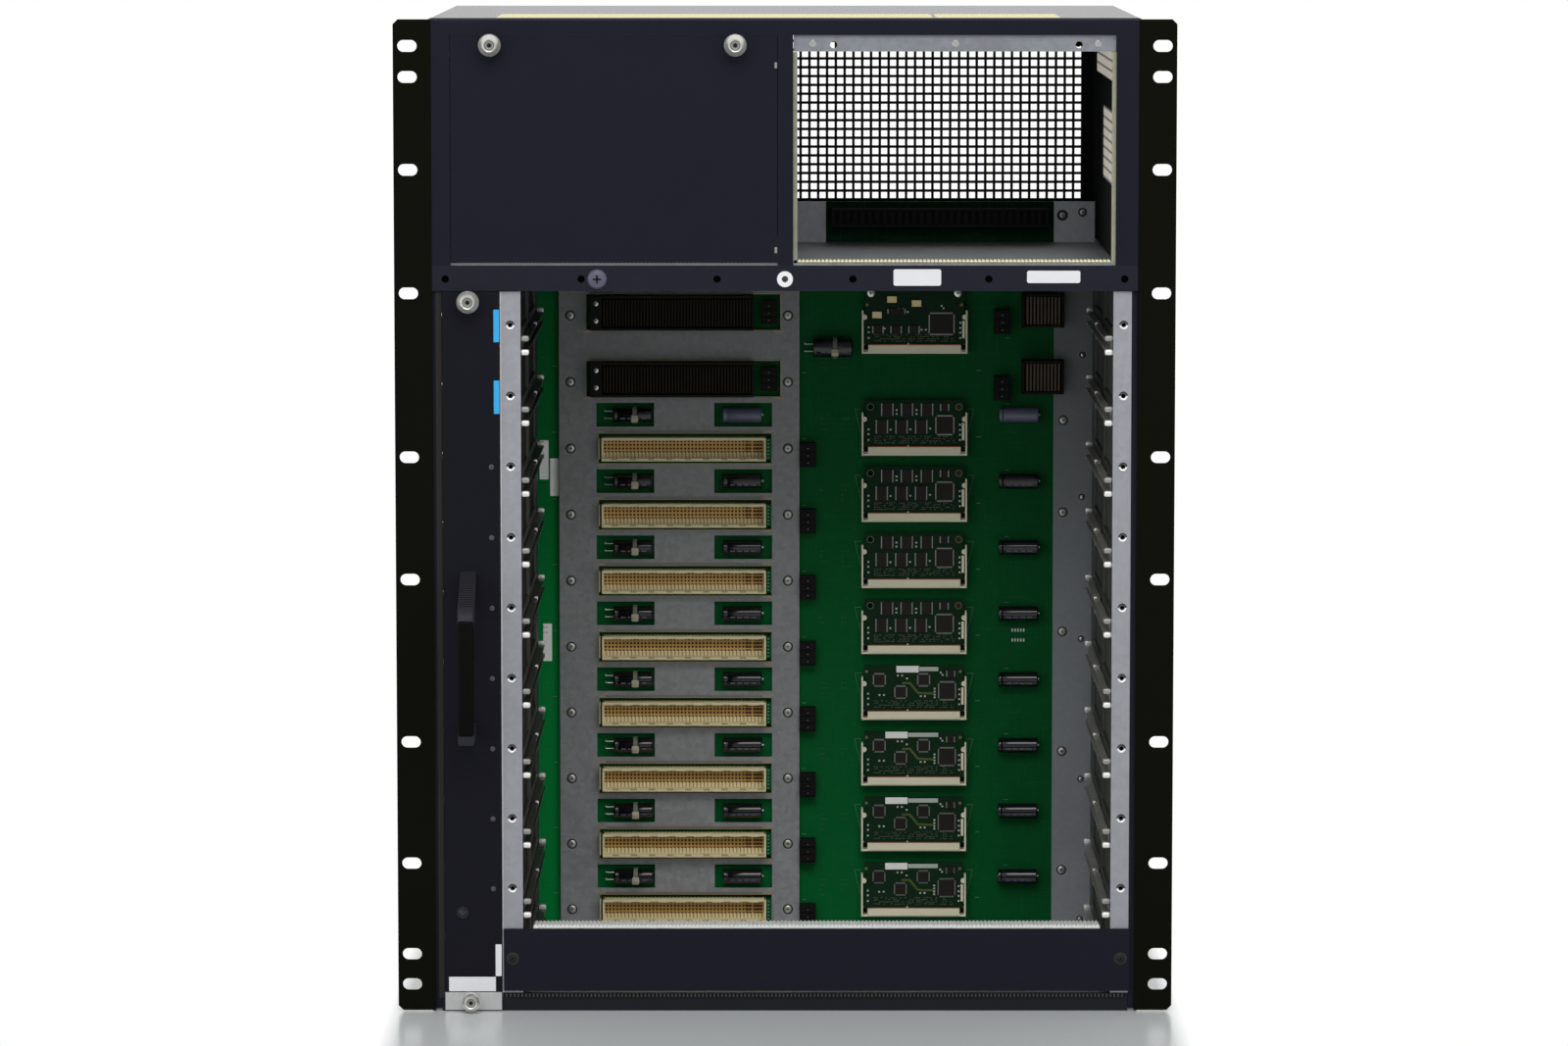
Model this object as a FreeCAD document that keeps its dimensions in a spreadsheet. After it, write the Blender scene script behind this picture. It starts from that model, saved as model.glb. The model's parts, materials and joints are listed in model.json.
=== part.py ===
import FreeCAD, Part
import Sketcher
import os

# Modular chassis switch: an open rack chassis with two power bays on top, ten card
# slots below, a fan tray on the left and a blank panel over the lowest slot.
# +X is to the right, +Y to the back and +Z up. Every height is measured from the
# underside and every depth from the front face of the bezel. All sizes are in mm.

Vector = FreeCAD.Vector
Rotation = FreeCAD.Rotation

SLOTS = 10
FIRST_LINE_SLOT = 3
UPPER_MODULES = 4
GRILLE_COLUMNS = 4
GRILLE_ROWS = 6
VENT_COLUMNS = 3
CAGE_WINDOW_COLUMNS = 2
FAN_ROWS = 3
FAN_COLUMNS = 2
FAN_BLADES = 7
HUB_SIDES = 14
BORE_SIDES = 24
KNOB_SIDES = 24
CAPACITOR_SIDES = 16
POWER_CONTACTS = 16

# How far a cutter runs past the face that it cuts through, in mm.
OVERCUT = 1.0

SIZES = {
    "body_width": 439.7,
    "body_height": 618.5,
    "body_depth": 317.0,
    "sheet_metal": 1.5,
    "bezel_thickness": 2.0,
    "fit_gap": 0.3,
    "slip_gap": 0.1,
    "fold_return": 12.0,
    # rack ears
    "ear_span": 482.6,
    "ear_thickness": 2.0,
    "ear_leg": 45.0,
    "ear_end_gap": 0.8,
    "ear_hole_spread": 465.1,
    "ear_slot_length": 12.0,
    "ear_slot_width": 7.3,
    "ear_corner": 3.0,
    "ear_row_a": 38.1,
    "ear_row_b": 139.7,
    "ear_row_c": 215.9,
    "ear_row_d": 273.05,
    "ear_row_e": 292.1,
    # bezel around the power bays and the crossbar under them
    "crossbar_bottom": 450.5,
    "crossbar_axis": 457.8,
    "bay_sill": 467.6,
    "bay_head_drop": 10.5,
    "left_bay_left": -206.5,
    "left_bay_right": -4.4,
    "right_bay_left": 5.0,
    "right_bay_right": 204.1,
    "side_band": 3.5,
    "bezel_hole_radius": 2.3,
    "bezel_hole_pitch": 83.9,
    "shelf_back_gap": 37.0,
    "bay_back_gap": 27.0,
    "hem_width": 2.6,
    "bay_strip_drop": 20.6,
    "bay_screw_drop": 16.5,
    "bay_screw_inset": 25.0,
    "bay_screw_spacing": 151.0,
    "bay_screw_hole": 2.2,
    "gasket_height": 1.2,
    "gasket_depth": 12.0,
    "lip_gasket_bottom": 8.5,
    "lip_gasket_left": -172.0,
    "lip_gasket_right": 212.0,
    "lip_gasket_thickness": 1.0,
    "bay_window_drop": 59.5,
    "bay_window_height": 47.0,
    "bay_window_front": 20.0,
    "bay_window_back": 180.0,
    "bay_slot_drop": 15.5,
    "bay_slot_height": 26.0,
    # card cage
    "cage_left": -163.5,
    "cage_right": 203.0,
    "flange_width": 11.3,
    "flange_bottom": 11.5,
    "flange_top": 450.0,
    "flange_hole_radius": 1.5,
    "flange_hole_offset": 6.4,
    "slot_pitch": 44.0,
    "lowest_slot": 33.3,
    "cage_window_above": 9.0,
    "cage_window_height": 26.0,
    "cage_window_front": 12.0,
    "cage_window_depth": 100.0,
    "cage_window_pitch": 122.0,
    # card guides
    "guide_drop": 12.9,
    "guide_reach": 5.0,
    "guide_base": 1.0,
    "guide_rail": 1.2,
    "guide_mouth": 5.2,
    "guide_flare": 1.6,
    "guide_front": 3.5,
    "guide_back": 250.0,
    "guide_flare_depth": 6.0,
    "guide_bump_depth": 128.0,
    "guide_bump_length": 8.0,
    # backplane and its stiffener
    "backplane_front": 272.0,
    "backplane_thickness": 3.2,
    "backplane_right": 190.0,
    "backplane_strip_left": 177.5,
    "stiffener_front": 268.0,
    "stiffener_left": -149.2,
    "stiffener_right": 9.6,
    "stiffener_sheet": 1.5,
    "connector_drop": 13.3,
    "window_margin": 2.6,
    "line_window_end": 4.2,
    # connectors
    "line_left": -121.1,
    "line_right": -12.5,
    "line_height": 15.6,
    "line_depth": 13.0,
    "line_wall": 1.9,
    "line_floor": 4.0,
    "supervisor_left": -128.4,
    "supervisor_right": -20.6,
    "supervisor_height": 22.7,
    "supervisor_depth": 15.0,
    "supervisor_end": 8.0,
    "supervisor_rise": 2.2,
    "supervisor_wall": 1.6,
    "supervisor_floor": 7.0,
    "redundancy_left": 156.2,
    "redundancy_right": 183.8,
    "redundancy_height": 22.0,
    "redundancy_drop": 7.3,
    "pole_width": 10.6,
    "pole_height": 15.8,
    "pole_depth": 10.0,
    "line_pole_left": 9.9,
    "line_pole_drop": 17.4,
    "supervisor_pole_left": -15.8,
    "redundancy_pole_left": 138.0,
    "redundancy_pole_drop": 6.2,
    # capacitors
    "capacitor_radius": 5.0,
    "capacitor_length": 26.0,
    "capacitor_rise": 9.0,
    "capacitor_left": -113.6,
    "capacitor_middle": -41.2,
    "capacitor_right": 141.6,
    "main_capacitor_left": 18.6,
    "main_capacitor_height": 394.8,
    "main_capacitor_radius": 6.4,
    "capacitor_window_left": -124.6,
    "capacitor_window_middle": -46.7,
    "capacitor_window_width": 38.2,
    "capacitor_window_height": 15.8,
    # plug-in modules
    "socket_left": 50.7,
    "socket_width": 69.7,
    "socket_bar": 5.8,
    "socket_depth": 8.0,
    "socket_arm_width": 2.0,
    "socket_arm_height": 27.0,
    "socket_drop": 17.8,
    "module_front": 265.6,
    "module_thickness": 1.2,
    "module_height": 36.7,
    "module_groove": 2.5,
    "chip_height": 1.2,
    "clock_bottom": 391.0,
    "clock_height": 49.0,
    # power bay contacts
    "power_board_front": 217.0,
    "power_board_thickness": 2.4,
    "power_board_inset": 21.7,
    "power_board_width": 148.3,
    "power_board_top": 494.0,
    "power_connector_inset": 3.5,
    "power_connector_width": 141.0,
    "power_connector_bottom": 478.0,
    "power_connector_top": 490.0,
    "power_connector_depth": 12.0,
    "power_contact_width": 3.6,
    "power_contact_pitch": 8.4,
    "power_contact_depth": 6.0,
    "power_bracket_left": 2.0,
    "power_bracket_right": 196.6,
    # side and rear openings
    "vent_width": 76.0,
    "vent_height": 3.8,
    "vent_pitch": 88.0,
    "vent_front": 50.0,
    "grille_slot_length": 42.0,
    "grille_slot_width": 3.8,
    "grille_column_pitch": 48.0,
    "grille_row_pitch": 22.0,
    "grille_bottom": 491.0,
    "grille_inset": 8.0,
    # crossbar fittings
    "jack_radius": 4.9,
    "jack_bore": 2.0,
    "jack_barrel": 3.6,
    "jack_lip": 1.0,
    "jack_length": 14.0,
    # fan tray
    "tray_left": -212.0,
    "tray_right": -176.8,
    "tray_panel_bottom": 12.3,
    "tray_panel_top": 450.0,
    "tray_foot_bottom": 0.8,
    "tray_foot_top": 12.0,
    "tray_back_gap": 17.0,
    "tray_frame_left": -210.6,
    "tray_frame_right": -181.5,
    "tray_frame_top": 438.0,
    "tray_rail_height": 10.0,
    "fan_side": 120.0,
    "fan_depth": 25.4,
    "fan_bore": 57.0,
    "fan_port_corner": 23.6,
    "fan_row_pitch": 140.0,
    "fan_middle": 227.5,
    "fan_hub": 20.0,
    "fan_blade_root": 16.0,
    "fan_blade_tip": 54.5,
    "fan_blade_width": 15.0,
    "fan_blade_thickness": 1.6,
    "fan_blade_pitch_angle": 35.0,
    "fan_motor": 18.0,
    "fan_motor_depth": 4.0,
    "fan_strut": 4.0,
    "fan_bearing_gap": 0.3,
    "fan_running_gap": 1.5,
    "handle_left": -201.5,
    "handle_width": 9.9,
    "handle_reach": 38.0,
    "handle_bottom": 172.0,
    "handle_top": 276.8,
    "handle_upper_foot": 14.8,
    "handle_lower_foot": 10.0,
    "handle_slope": 26.2,
    "handle_shoulder": 21.0,
    "handle_corner": 5.0,
    "handle_inner_corner": 2.0,
    "handle_bar": 10.0,
    "tray_plug_width": 18.0,
    "tray_plug_height": 40.0,
    "tray_plug_depth": 9.0,
    # captive thumbscrews
    "knob_radius": 6.9,
    "small_knob_radius": 6.0,
    "knob_length": 12.0,
    "knob_collar": 3.6,
    "knob_neck": 4.6,
    "screw_shank": 2.0,
    "screw_play": 0.3,
    "tray_knob_place": -195.6,
    "tray_knob_height": 444.0,
    "tray_low_knob_height": 7.0,
    # blank panel over the lowest slot
    "blank_bottom": 12.8,
    "blank_top": 51.9,
    "blank_margin": 12.0,
    "blank_fold": 20.0,
}


class Size:
    """A length that knows its value and the sheet expression it is worked out by."""

    def __init__(self, value, text):
        self.value = value
        self.text = text

    def __add__(self, other):
        other = as_size(other)
        return Size(self.value + other.value, f"({self.text} + {other.text})")

    def __sub__(self, other):
        other = as_size(other)
        return Size(self.value - other.value, f"({self.text} - {other.text})")

    def __mul__(self, other):
        other = as_size(other)
        return Size(self.value * other.value, f"({self.text} * {other.text})")

    def __truediv__(self, other):
        other = as_size(other)
        return Size(self.value / other.value, f"({self.text} / {other.text})")

    def __radd__(self, other):
        return as_size(other) + self

    def __rsub__(self, other):
        return as_size(other) - self

    def __rmul__(self, other):
        return as_size(other) * self

    def __neg__(self):
        return as_size(0) - self


def as_size(value):
    """Gives a plain number the form of a Size."""
    if isinstance(value, Size):
        return value
    return Size(float(value), f"({float(value)})")


class Sheet:
    """The spreadsheet of driving sizes; each one is read as an attribute."""

    def __init__(self, document, sizes):
        self.cells = document.addObject("Spreadsheet::Sheet", "Sizes")
        for row, (name, value) in enumerate(sizes.items(), start=1):
            self.cells.set(f"A{row}", name)
            self.cells.set(f"B{row}", str(value))
            self.cells.setAlias(f"B{row}", name)
            setattr(self, name, Size(value, f"Sizes.{name}"))


doc = FreeCAD.newDocument("chassis_switch")
S = Sheet(doc, SIZES)
doc.recompute()

pieces = []

half_body = S.body_width / 2 - S.ear_thickness
half_inside = half_body - S.sheet_metal
rear_face = S.body_depth
roof = S.body_height - S.sheet_metal
flange_face = S.bezel_thickness
flange_back = S.bezel_thickness + S.sheet_metal
rack_middle = S.body_height / 2
ear_top = S.body_height - S.ear_end_gap
bay_head = S.body_height - S.bay_head_drop
bay_strip_bottom = S.body_height - S.bay_strip_drop
bay_screw_height = S.body_height - S.bay_screw_drop
bay_window_top = S.body_height - S.bay_window_drop
bay_slot_top = S.body_height - S.bay_slot_drop
shelf_back = S.body_depth - S.shelf_back_gap
bay_back = S.body_depth - S.bay_back_gap
tray_back = S.body_depth - S.tray_back_gap
fan_gap = (tray_back - S.bezel_thickness - S.fan_side * FAN_COLUMNS) / (FAN_COLUMNS + 1)
backplane_back = S.backplane_front + S.backplane_thickness
mid_y = (S.handle_reach - S.body_depth) / 2


def slot_height(slot):
    """Height of a slot's screw line; slot 1 is the highest."""
    return S.lowest_slot + (SLOTS - slot) * S.slot_pitch


# ---------------------------------------------------------------- drawing helpers


def bind(thing, prop, size):
    """Ties one property of an object to the sheet."""
    thing.setExpression(prop, as_size(size).text)


def piece(label, thing):
    """Names a finished sub-part and seats it so that the whole is centred front to back."""
    if thing.TypeId in ("Part::Box", "Part::Cylinder"):
        thing = group(thing)
    thing.Label = label
    bind(thing, "Placement.Base.y", mid_y)
    pieces.append(thing)
    return thing


def mirrored(label, thing):
    """A left-right mirror image of a finished sub-part."""
    image = doc.addObject("Part::Mirroring", "Mirror")
    image.Source = thing
    image.Normal = Vector(1, 0, 0)
    image.Label = label
    pieces.append(image)
    return image


def block(x, y, z):
    """A box between a low and a high size on each axis."""
    box = doc.addObject("Part::Box", "Block")
    for axis, side, (low, high) in zip("xyz", ("Length", "Width", "Height"), (x, y, z)):
        bind(box, f"Placement.Base.{axis}", low)
        bind(box, side, as_size(high) - low)
    return box


def stand(solid, axis, span, centre):
    """Lays a cylinder or prism along an axis; centre gives the two other places in XYZ order."""
    turns = {"x": Rotation(Vector(0, 1, 0), 90), "y": Rotation(Vector(1, 0, 0), -90), "z": Rotation()}
    solid.Placement = FreeCAD.Placement(Vector(), turns[axis])
    low, high = span
    places = list(centre)
    places.insert("xyz".index(axis), low)
    for name, place in zip("xyz", places):
        bind(solid, f"Placement.Base.{name}", place)
    bind(solid, "Height", as_size(high) - low)
    return solid


def rod(axis, span, centre, radius):
    """A cylinder along an axis."""
    cylinder = doc.addObject("Part::Cylinder", "Rod")
    bind(cylinder, "Radius", radius)
    return stand(cylinder, axis, span, centre)


def prism(axis, span, centre, radius, sides):
    """A regular prism along an axis, for round forms that repeat many times."""
    solid = doc.addObject("Part::Prism", "Prism")
    solid.Polygon = sides
    bind(solid, "Circumradius", radius)
    return stand(solid, axis, span, centre)


def fuse(*things):
    """One solid from several that meet."""
    joined = doc.addObject("Part::MultiFuse", "Fuse")
    joined.Shapes = list(things)
    joined.Refine = True
    return joined


def group(*things):
    """Several separate solids kept under one name."""
    bundle = doc.addObject("Part::Compound", "Group")
    bundle.Links = list(things)
    return bundle


def cut(base, *tools):
    """A solid with others taken out of it."""
    remainder = doc.addObject("Part::Cut", "Cut")
    remainder.Base = base
    remainder.Tool = tools[0] if len(tools) == 1 else group(*tools)
    return remainder


def common(base, tool):
    """What two solids share."""
    shared = doc.addObject("Part::Common", "Common")
    shared.Base = base
    shared.Tool = tool
    return shared


# A sketch's own X and Y are these axes of the model; its normal points along the third.
PLANES = {"XY_Plane": 1, "YZ_Plane": 1, "XZ_Plane": -1}


def new_body(name):
    """An empty body."""
    return doc.addObject("PartDesign::Body", name)


def origin_part(body, role):
    """One of a body's own origin planes or axes."""
    return next(part for part in body.Origin.OriginFeatures if part.Role == role)


def new_sketch(body, plane, offset):
    """An empty sketch on a body's origin plane, moved along its normal."""
    sketch = body.newObject("Sketcher::SketchObject", "Sketch")
    sketch.AttachmentSupport = [(origin_part(body, plane), "")]
    sketch.MapMode = "FlatFace"
    bind(sketch, "AttachmentOffset.Base.z", offset)
    return sketch


def pin_point(sketch, line, end, place):
    """Fixes one end of a line, or a centre, at a place measured from the origin."""
    for kind, size in zip(("DistanceX", "DistanceY"), place):
        size = as_size(size)
        index = sketch.addConstraint(Sketcher.Constraint(kind, -1, 1, line, end, size.value))
        bind(sketch, f"Constraints[{index}]", size)


def draw_loop(sketch, points):
    """A closed outline through the points."""
    corners = [Vector(as_size(a).value, as_size(b).value, 0) for a, b in points]
    first = sketch.GeometryCount
    count = len(points)
    for number, corner in enumerate(corners):
        sketch.addGeometry(Part.LineSegment(corner, corners[(number + 1) % count]), False)
    for number, place in enumerate(points):
        before = first + (number - 1) % count
        sketch.addConstraint(Sketcher.Constraint("Coincident", before, 2, first + number, 1))
        pin_point(sketch, first + number, 1, place)


def draw_circle(sketch, centre, radius):
    """A circle at a place."""
    radius = as_size(radius)
    middle = Vector(as_size(centre[0]).value, as_size(centre[1]).value, 0)
    ring = sketch.addGeometry(Part.Circle(middle, Vector(0, 0, 1), radius.value), False)
    pin_point(sketch, ring, 3, centre)
    index = sketch.addConstraint(Sketcher.Constraint("Radius", ring, radius.value))
    bind(sketch, f"Constraints[{index}]", radius)


def draw(body, plane, offset, loops, circles):
    """A sketch holding outlines and circles."""
    sketch = new_sketch(body, plane, offset)
    for points in loops:
        draw_loop(sketch, points)
    for centre, radius in circles:
        draw_circle(sketch, centre, radius)
    return sketch


def pad(body, plane, span, loops=(), circles=()):
    """Adds material between two places along the plane's normal axis."""
    low, high = span
    offset = low if PLANES[plane] > 0 else -as_size(high)
    feature = body.newObject("PartDesign::Pad", "Pad")
    feature.Profile = draw(body, plane, offset, loops, circles)
    bind(feature, "Length", as_size(high) - low)
    body.Tip = feature
    return feature


def pocket(body, plane, span, loops=(), circles=()):
    """Takes material away between two places along the plane's normal axis."""
    low, high = span
    offset = high if PLANES[plane] > 0 else -as_size(low)
    feature = body.newObject("PartDesign::Pocket", "Pocket")
    feature.Profile = draw(body, plane, offset, loops, circles)
    bind(feature, "Length", as_size(high) - low)
    body.Tip = feature
    return feature


def repeat(body, features, axis, count, pitch):
    """Repeats features along one of the body's axes."""
    pattern = body.newObject("PartDesign::LinearPattern", "Pattern")
    pattern.Originals = features
    pattern.Direction = (origin_part(body, axis), [""])
    pattern.Occurrences = count
    bind(pattern, "Length", as_size(pitch) * (count - 1))
    body.Tip = pattern
    return pattern


def rectangle(low_a, high_a, low_b, high_b):
    """The corners of an upright rectangle."""
    return [(low_a, low_b), (high_a, low_b), (high_a, high_b), (low_a, high_b)]


def turned(label, axis_place, outline):
    """A body turned about an axis that runs front to back.

    The outline gives radius and depth pairs; the axis place gives X and Z.
    """
    body = new_body(label)
    sketch = body.newObject("Sketcher::SketchObject", "Outline")
    sketch.AttachmentSupport = [(origin_part(body, "XY_Plane"), "")]
    sketch.MapMode = "FlatFace"
    draw_loop(sketch, outline)
    feature = body.newObject("PartDesign::Revolution", "Turning")
    feature.Profile = sketch
    feature.ReferenceAxis = (sketch, ["V_Axis"])
    feature.Angle = 360
    body.Tip = feature
    bind(body, "Placement.Base.x", axis_place[0])
    bind(body, "Placement.Base.z", axis_place[1])
    return body


# ---------------------------------------------------------------- outer chassis


def bottom_pan():
    """Floor with turned-up sides and the front lip under the lowest slot."""
    body = new_body("bottom_pan")
    metal = S.sheet_metal
    back = rear_face - metal
    pad(body, "XY_Plane", (0, metal), [rectangle(-half_body, half_body, flange_back, back)])
    sides = [
        rectangle(-half_inside, metal - half_inside, metal, metal + S.fold_return),
        rectangle(half_inside - metal, half_inside, metal, metal + S.fold_return),
    ]
    pad(body, "XZ_Plane", (flange_back, back - metal - S.slip_gap), sides)
    edge = half_body - S.side_band - S.fit_gap
    step = S.cage_left - S.flange_width
    top = S.flange_bottom - S.fit_gap
    low = S.tray_rail_height
    lip = [(-edge, 0), (edge, 0), (edge, top), (step, top), (step, low), (-edge, low)]
    pad(body, "XZ_Plane", (flange_face, flange_back), [lip])
    hole = ((S.tray_knob_place, S.tray_low_knob_height), S.screw_shank + S.screw_play / 2)
    pocket(body, "XZ_Plane", (flange_face, flange_back), circles=[hole])
    return piece("bottom_pan", body)


def top_cover():
    """Lid with turned-down sides, over the bezel's upper edge."""
    body = new_body("top_cover")
    metal = S.sheet_metal
    pad(body, "XY_Plane", (roof, S.body_height), [rectangle(-half_body, half_body, 0, rear_face)])
    fold_bottom = roof - S.fold_return
    folds = [
        rectangle(-half_inside, metal - half_inside, fold_bottom, roof),
        rectangle(half_inside - metal, half_inside, fold_bottom, roof),
    ]
    pad(body, "XZ_Plane", (S.fold_return, rear_face - S.fold_return), folds)
    return piece("top_cover", body)


def side_wall():
    """Left side sheet with a narrow front return, a rear return and rows of vents."""
    body = new_body("side_wall_left")
    back = rear_face - S.sheet_metal
    band = S.side_band - half_body
    turn = S.fold_return - half_body
    section = [
        (-half_body, flange_face), (band, flange_face), (band, flange_back), (-half_inside, flange_back),
        (-half_inside, back - S.sheet_metal), (turn, back - S.sheet_metal), (turn, back), (-half_body, back),
    ]
    pad(body, "XY_Plane", (S.sheet_metal, roof), [section])
    vents = []
    for column in range(VENT_COLUMNS):
        front = S.vent_front + column * S.vent_pitch
        height = S.lowest_slot - S.vent_height / 2
        vents.append(rectangle(front, front + S.vent_width, height, height + S.vent_height))
    row = pocket(body, "YZ_Plane", (-half_body, -half_inside), vents)
    repeat(body, [row], "Z_Axis", SLOTS, S.slot_pitch)
    left = piece("side_wall_left", body)
    mirrored("side_wall_right", left)


def rear_panel():
    """Rear sheet with a slotted grille behind each power bay."""
    body = new_body("rear_panel")
    through = (rear_face - S.sheet_metal, rear_face)
    pad(body, "XZ_Plane", through, [rectangle(-half_body, half_body, 0, roof)])
    for bay_left in (S.left_bay_left, S.right_bay_left):
        slots = []
        left = bay_left + S.grille_inset
        for row in range(GRILLE_ROWS):
            low = S.grille_bottom + row * S.grille_row_pitch
            slots.append(rectangle(left, left + S.grille_slot_length, low, low + S.grille_slot_width))
        column = pocket(body, "XZ_Plane", through, slots)
        repeat(body, [column], "X_Axis", GRILLE_COLUMNS, S.grille_column_pitch)
    return piece("rear_panel", body)


def front_frame():
    """Bezel round the two power bays: three upright bars under a long one."""
    depth = (0, S.bezel_thickness)
    crossbar_top = S.bay_sill - S.sheet_metal
    uprights = (
        (-half_body, S.left_bay_left), (S.left_bay_right, S.right_bay_left), (S.right_bay_right, half_body),
    )
    bars = [block(ends, depth, (crossbar_top, bay_head)) for ends in uprights]
    bars.append(block((-half_body, half_body), depth, (bay_head, roof)))
    return piece("front_frame", group(*bars))


def crossbar():
    """Bar under the power bays with a row of holes and the jack's hole at its middle."""
    body = new_body("crossbar")
    outline = rectangle(-half_body, half_body, S.crossbar_bottom, S.bay_sill - S.sheet_metal)
    pad(body, "XZ_Plane", (0, S.bezel_thickness), [outline])
    holes = [((0, S.crossbar_axis), S.jack_barrel + S.slip_gap)]
    for side in (-1, 1):
        for step in (1, 3, 5):
            holes.append(((side * step * S.bezel_hole_pitch / 2, S.crossbar_axis), S.bezel_hole_radius))
    pocket(body, "XZ_Plane", (0, S.bezel_thickness), circles=holes)
    return piece("crossbar", body)


def rack_ears():
    """Rack ears: a face with slotted holes and a leg along each side."""
    outer = S.ear_span / 2
    leg = S.body_width / 2
    face = block((leg - S.ear_thickness, outer), (0, S.ear_thickness), (S.ear_end_gap, ear_top))
    side = block((leg - S.ear_thickness, leg), (S.ear_thickness, S.ear_leg), (S.ear_end_gap, ear_top))
    tools = []
    for row in (S.ear_row_a, S.ear_row_b, S.ear_row_c, S.ear_row_d, S.ear_row_e):
        for height in (rack_middle - row, rack_middle + row):
            tools.append(rack_slot(height))
    rounded = common(fuse(face, side), ear_outline(outer))
    right = piece("rack_ear_right", cut(rounded, *tools))
    mirrored("rack_ear_left", right)


def ear_outline(outer):
    """A thick plate with rounded outer corners that trims the ear's face."""
    body = new_body("ear_outline")
    inner = S.body_width / 2 - S.ear_thickness
    low = S.ear_end_gap
    high = ear_top
    corner = S.ear_corner
    outline = [
        (inner, low), (outer - corner, low), (outer, low + corner),
        (outer, high - corner), (outer - corner, high), (inner, high),
    ]
    pad(body, "XZ_Plane", (0, S.ear_leg), [outline])
    return body


def rack_slot(height):
    """The cutter for one slotted rack hole."""
    centre = S.ear_hole_spread / 2
    reach = (S.ear_slot_length - S.ear_slot_width) / 2
    radius = S.ear_slot_width / 2
    through = (-OVERCUT, S.ear_thickness + OVERCUT)
    middle = block((centre - reach, centre + reach), through, (height - radius, height + radius))
    ends = [rod("y", through, (centre + side * reach, height), radius) for side in (-1, 1)]
    return fuse(middle, *ends)


# ---------------------------------------------------------------- power bays


def bay_shelf():
    """Floor of the power bays and ceiling of the card cage."""
    edge = half_body - S.side_band - S.fit_gap
    body = new_body("bay_shelf")
    back = shelf_back
    outline = [
        (-edge, flange_face), (edge, flange_face), (edge, flange_back), (half_inside, flange_back),
        (half_inside, back), (-half_inside, back), (-half_inside, flange_back), (-edge, flange_back),
    ]
    pad(body, "XY_Plane", (S.bay_sill - S.sheet_metal, S.bay_sill), [outline])
    return piece("bay_shelf", body)


def bay_divider():
    """Folded channel between the two power bays, hemmed towards the right one."""
    body = new_body("bay_divider")
    left = S.left_bay_right
    right = S.right_bay_left
    metal = S.sheet_metal
    back = bay_back - metal
    section = [
        (left, flange_face), (left + metal, flange_face), (left + metal, back), (right - metal, back),
        (right - metal, flange_face), (right + S.hem_width, flange_face), (right + S.hem_width, flange_back),
        (right, flange_back), (right, bay_back), (left, bay_back),
    ]
    pad(body, "XY_Plane", (S.bay_sill, roof), [section])
    strip = rectangle(left - OVERCUT, right + S.hem_width + OVERCUT, bay_strip_bottom - S.fit_gap, roof)
    pocket(body, "XZ_Plane", (flange_face, flange_back + S.fit_gap), [strip])
    return piece("bay_divider", body)


def bay_walls():
    """Windowed outer walls of the two bays; the right one has a hem at its mouth."""
    metal = S.sheet_metal
    windows = [
        rectangle(S.bay_window_front, S.bay_window_back, bay_window_top - S.bay_window_height, bay_window_top),
        rectangle(S.bay_window_front, bay_back - S.bay_window_front, bay_slot_top - S.bay_slot_height, bay_slot_top),
    ]
    front = flange_back + S.fit_gap
    walls = (
        ("bay_wall_left", S.left_bay_left - metal, S.left_bay_left, None),
        ("bay_wall_right", S.right_bay_right, S.right_bay_right + metal, S.right_bay_right - S.hem_width),
    )
    for label, low, high, hem in walls:
        body = new_body(label)
        pad(body, "YZ_Plane", (low, high), [rectangle(front, bay_back, S.bay_sill, roof)])
        pocket(body, "YZ_Plane", (low, high), windows)
        if hem is not None:
            lip = rectangle(hem, high, flange_face, front)
            pad(body, "XY_Plane", (S.bay_sill, bay_strip_bottom - S.fit_gap), [lip])
        piece(label, body)


def bay_strips():
    """Tapped angle strips behind the bezel's top edge, one over each bay."""
    strips = []
    metal = S.sheet_metal
    for left, right in ((S.left_bay_left, S.left_bay_right), (S.right_bay_left, S.right_bay_right)):
        start = left + S.fit_gap
        end = right - S.fit_gap
        face = block((start, end), (flange_face, flange_back), (bay_strip_bottom, roof))
        top = block((start, end), (flange_back, flange_back + S.fold_return), (roof - metal, roof))
        holes = []
        for number in range(2):
            place = left + S.bay_screw_inset + number * S.bay_screw_spacing
            through = (flange_face - OVERCUT, flange_back + OVERCUT)
            holes.append(rod("y", through, (place, bay_screw_height), S.bay_screw_hole))
        strips.append(cut(fuse(face, top), *holes))
    return piece("bay_strips", group(*strips))


def contact_strips():
    """Contact strips at the mouth of each bay and on the lip under the lowest slot."""
    strips = []
    ends = (
        (S.left_bay_left + S.fold_return, S.left_bay_right - S.fold_return),
        (S.right_bay_left + S.hem_width, S.right_bay_right - S.hem_width),
    )
    for left, right in ends:
        depth = (flange_face, flange_face + S.gasket_depth)
        strips.append(block((left, right), depth, (S.bay_sill, S.bay_sill + S.gasket_height)))
    depth = (flange_face - S.lip_gasket_thickness, flange_face)
    height = (S.lip_gasket_bottom, S.flange_bottom - S.fit_gap)
    strips.append(block((S.lip_gasket_left, S.lip_gasket_right), depth, height))
    return piece("contact_strips", group(*strips))


def power_board(label, bay_left):
    """Upright circuit board at the back of a power bay."""
    left = bay_left + S.power_board_inset
    depth = (S.power_board_front, S.power_board_front + S.power_board_thickness)
    return piece(label, block((left, left + S.power_board_width), depth, (S.bay_sill, S.power_board_top)))


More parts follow.
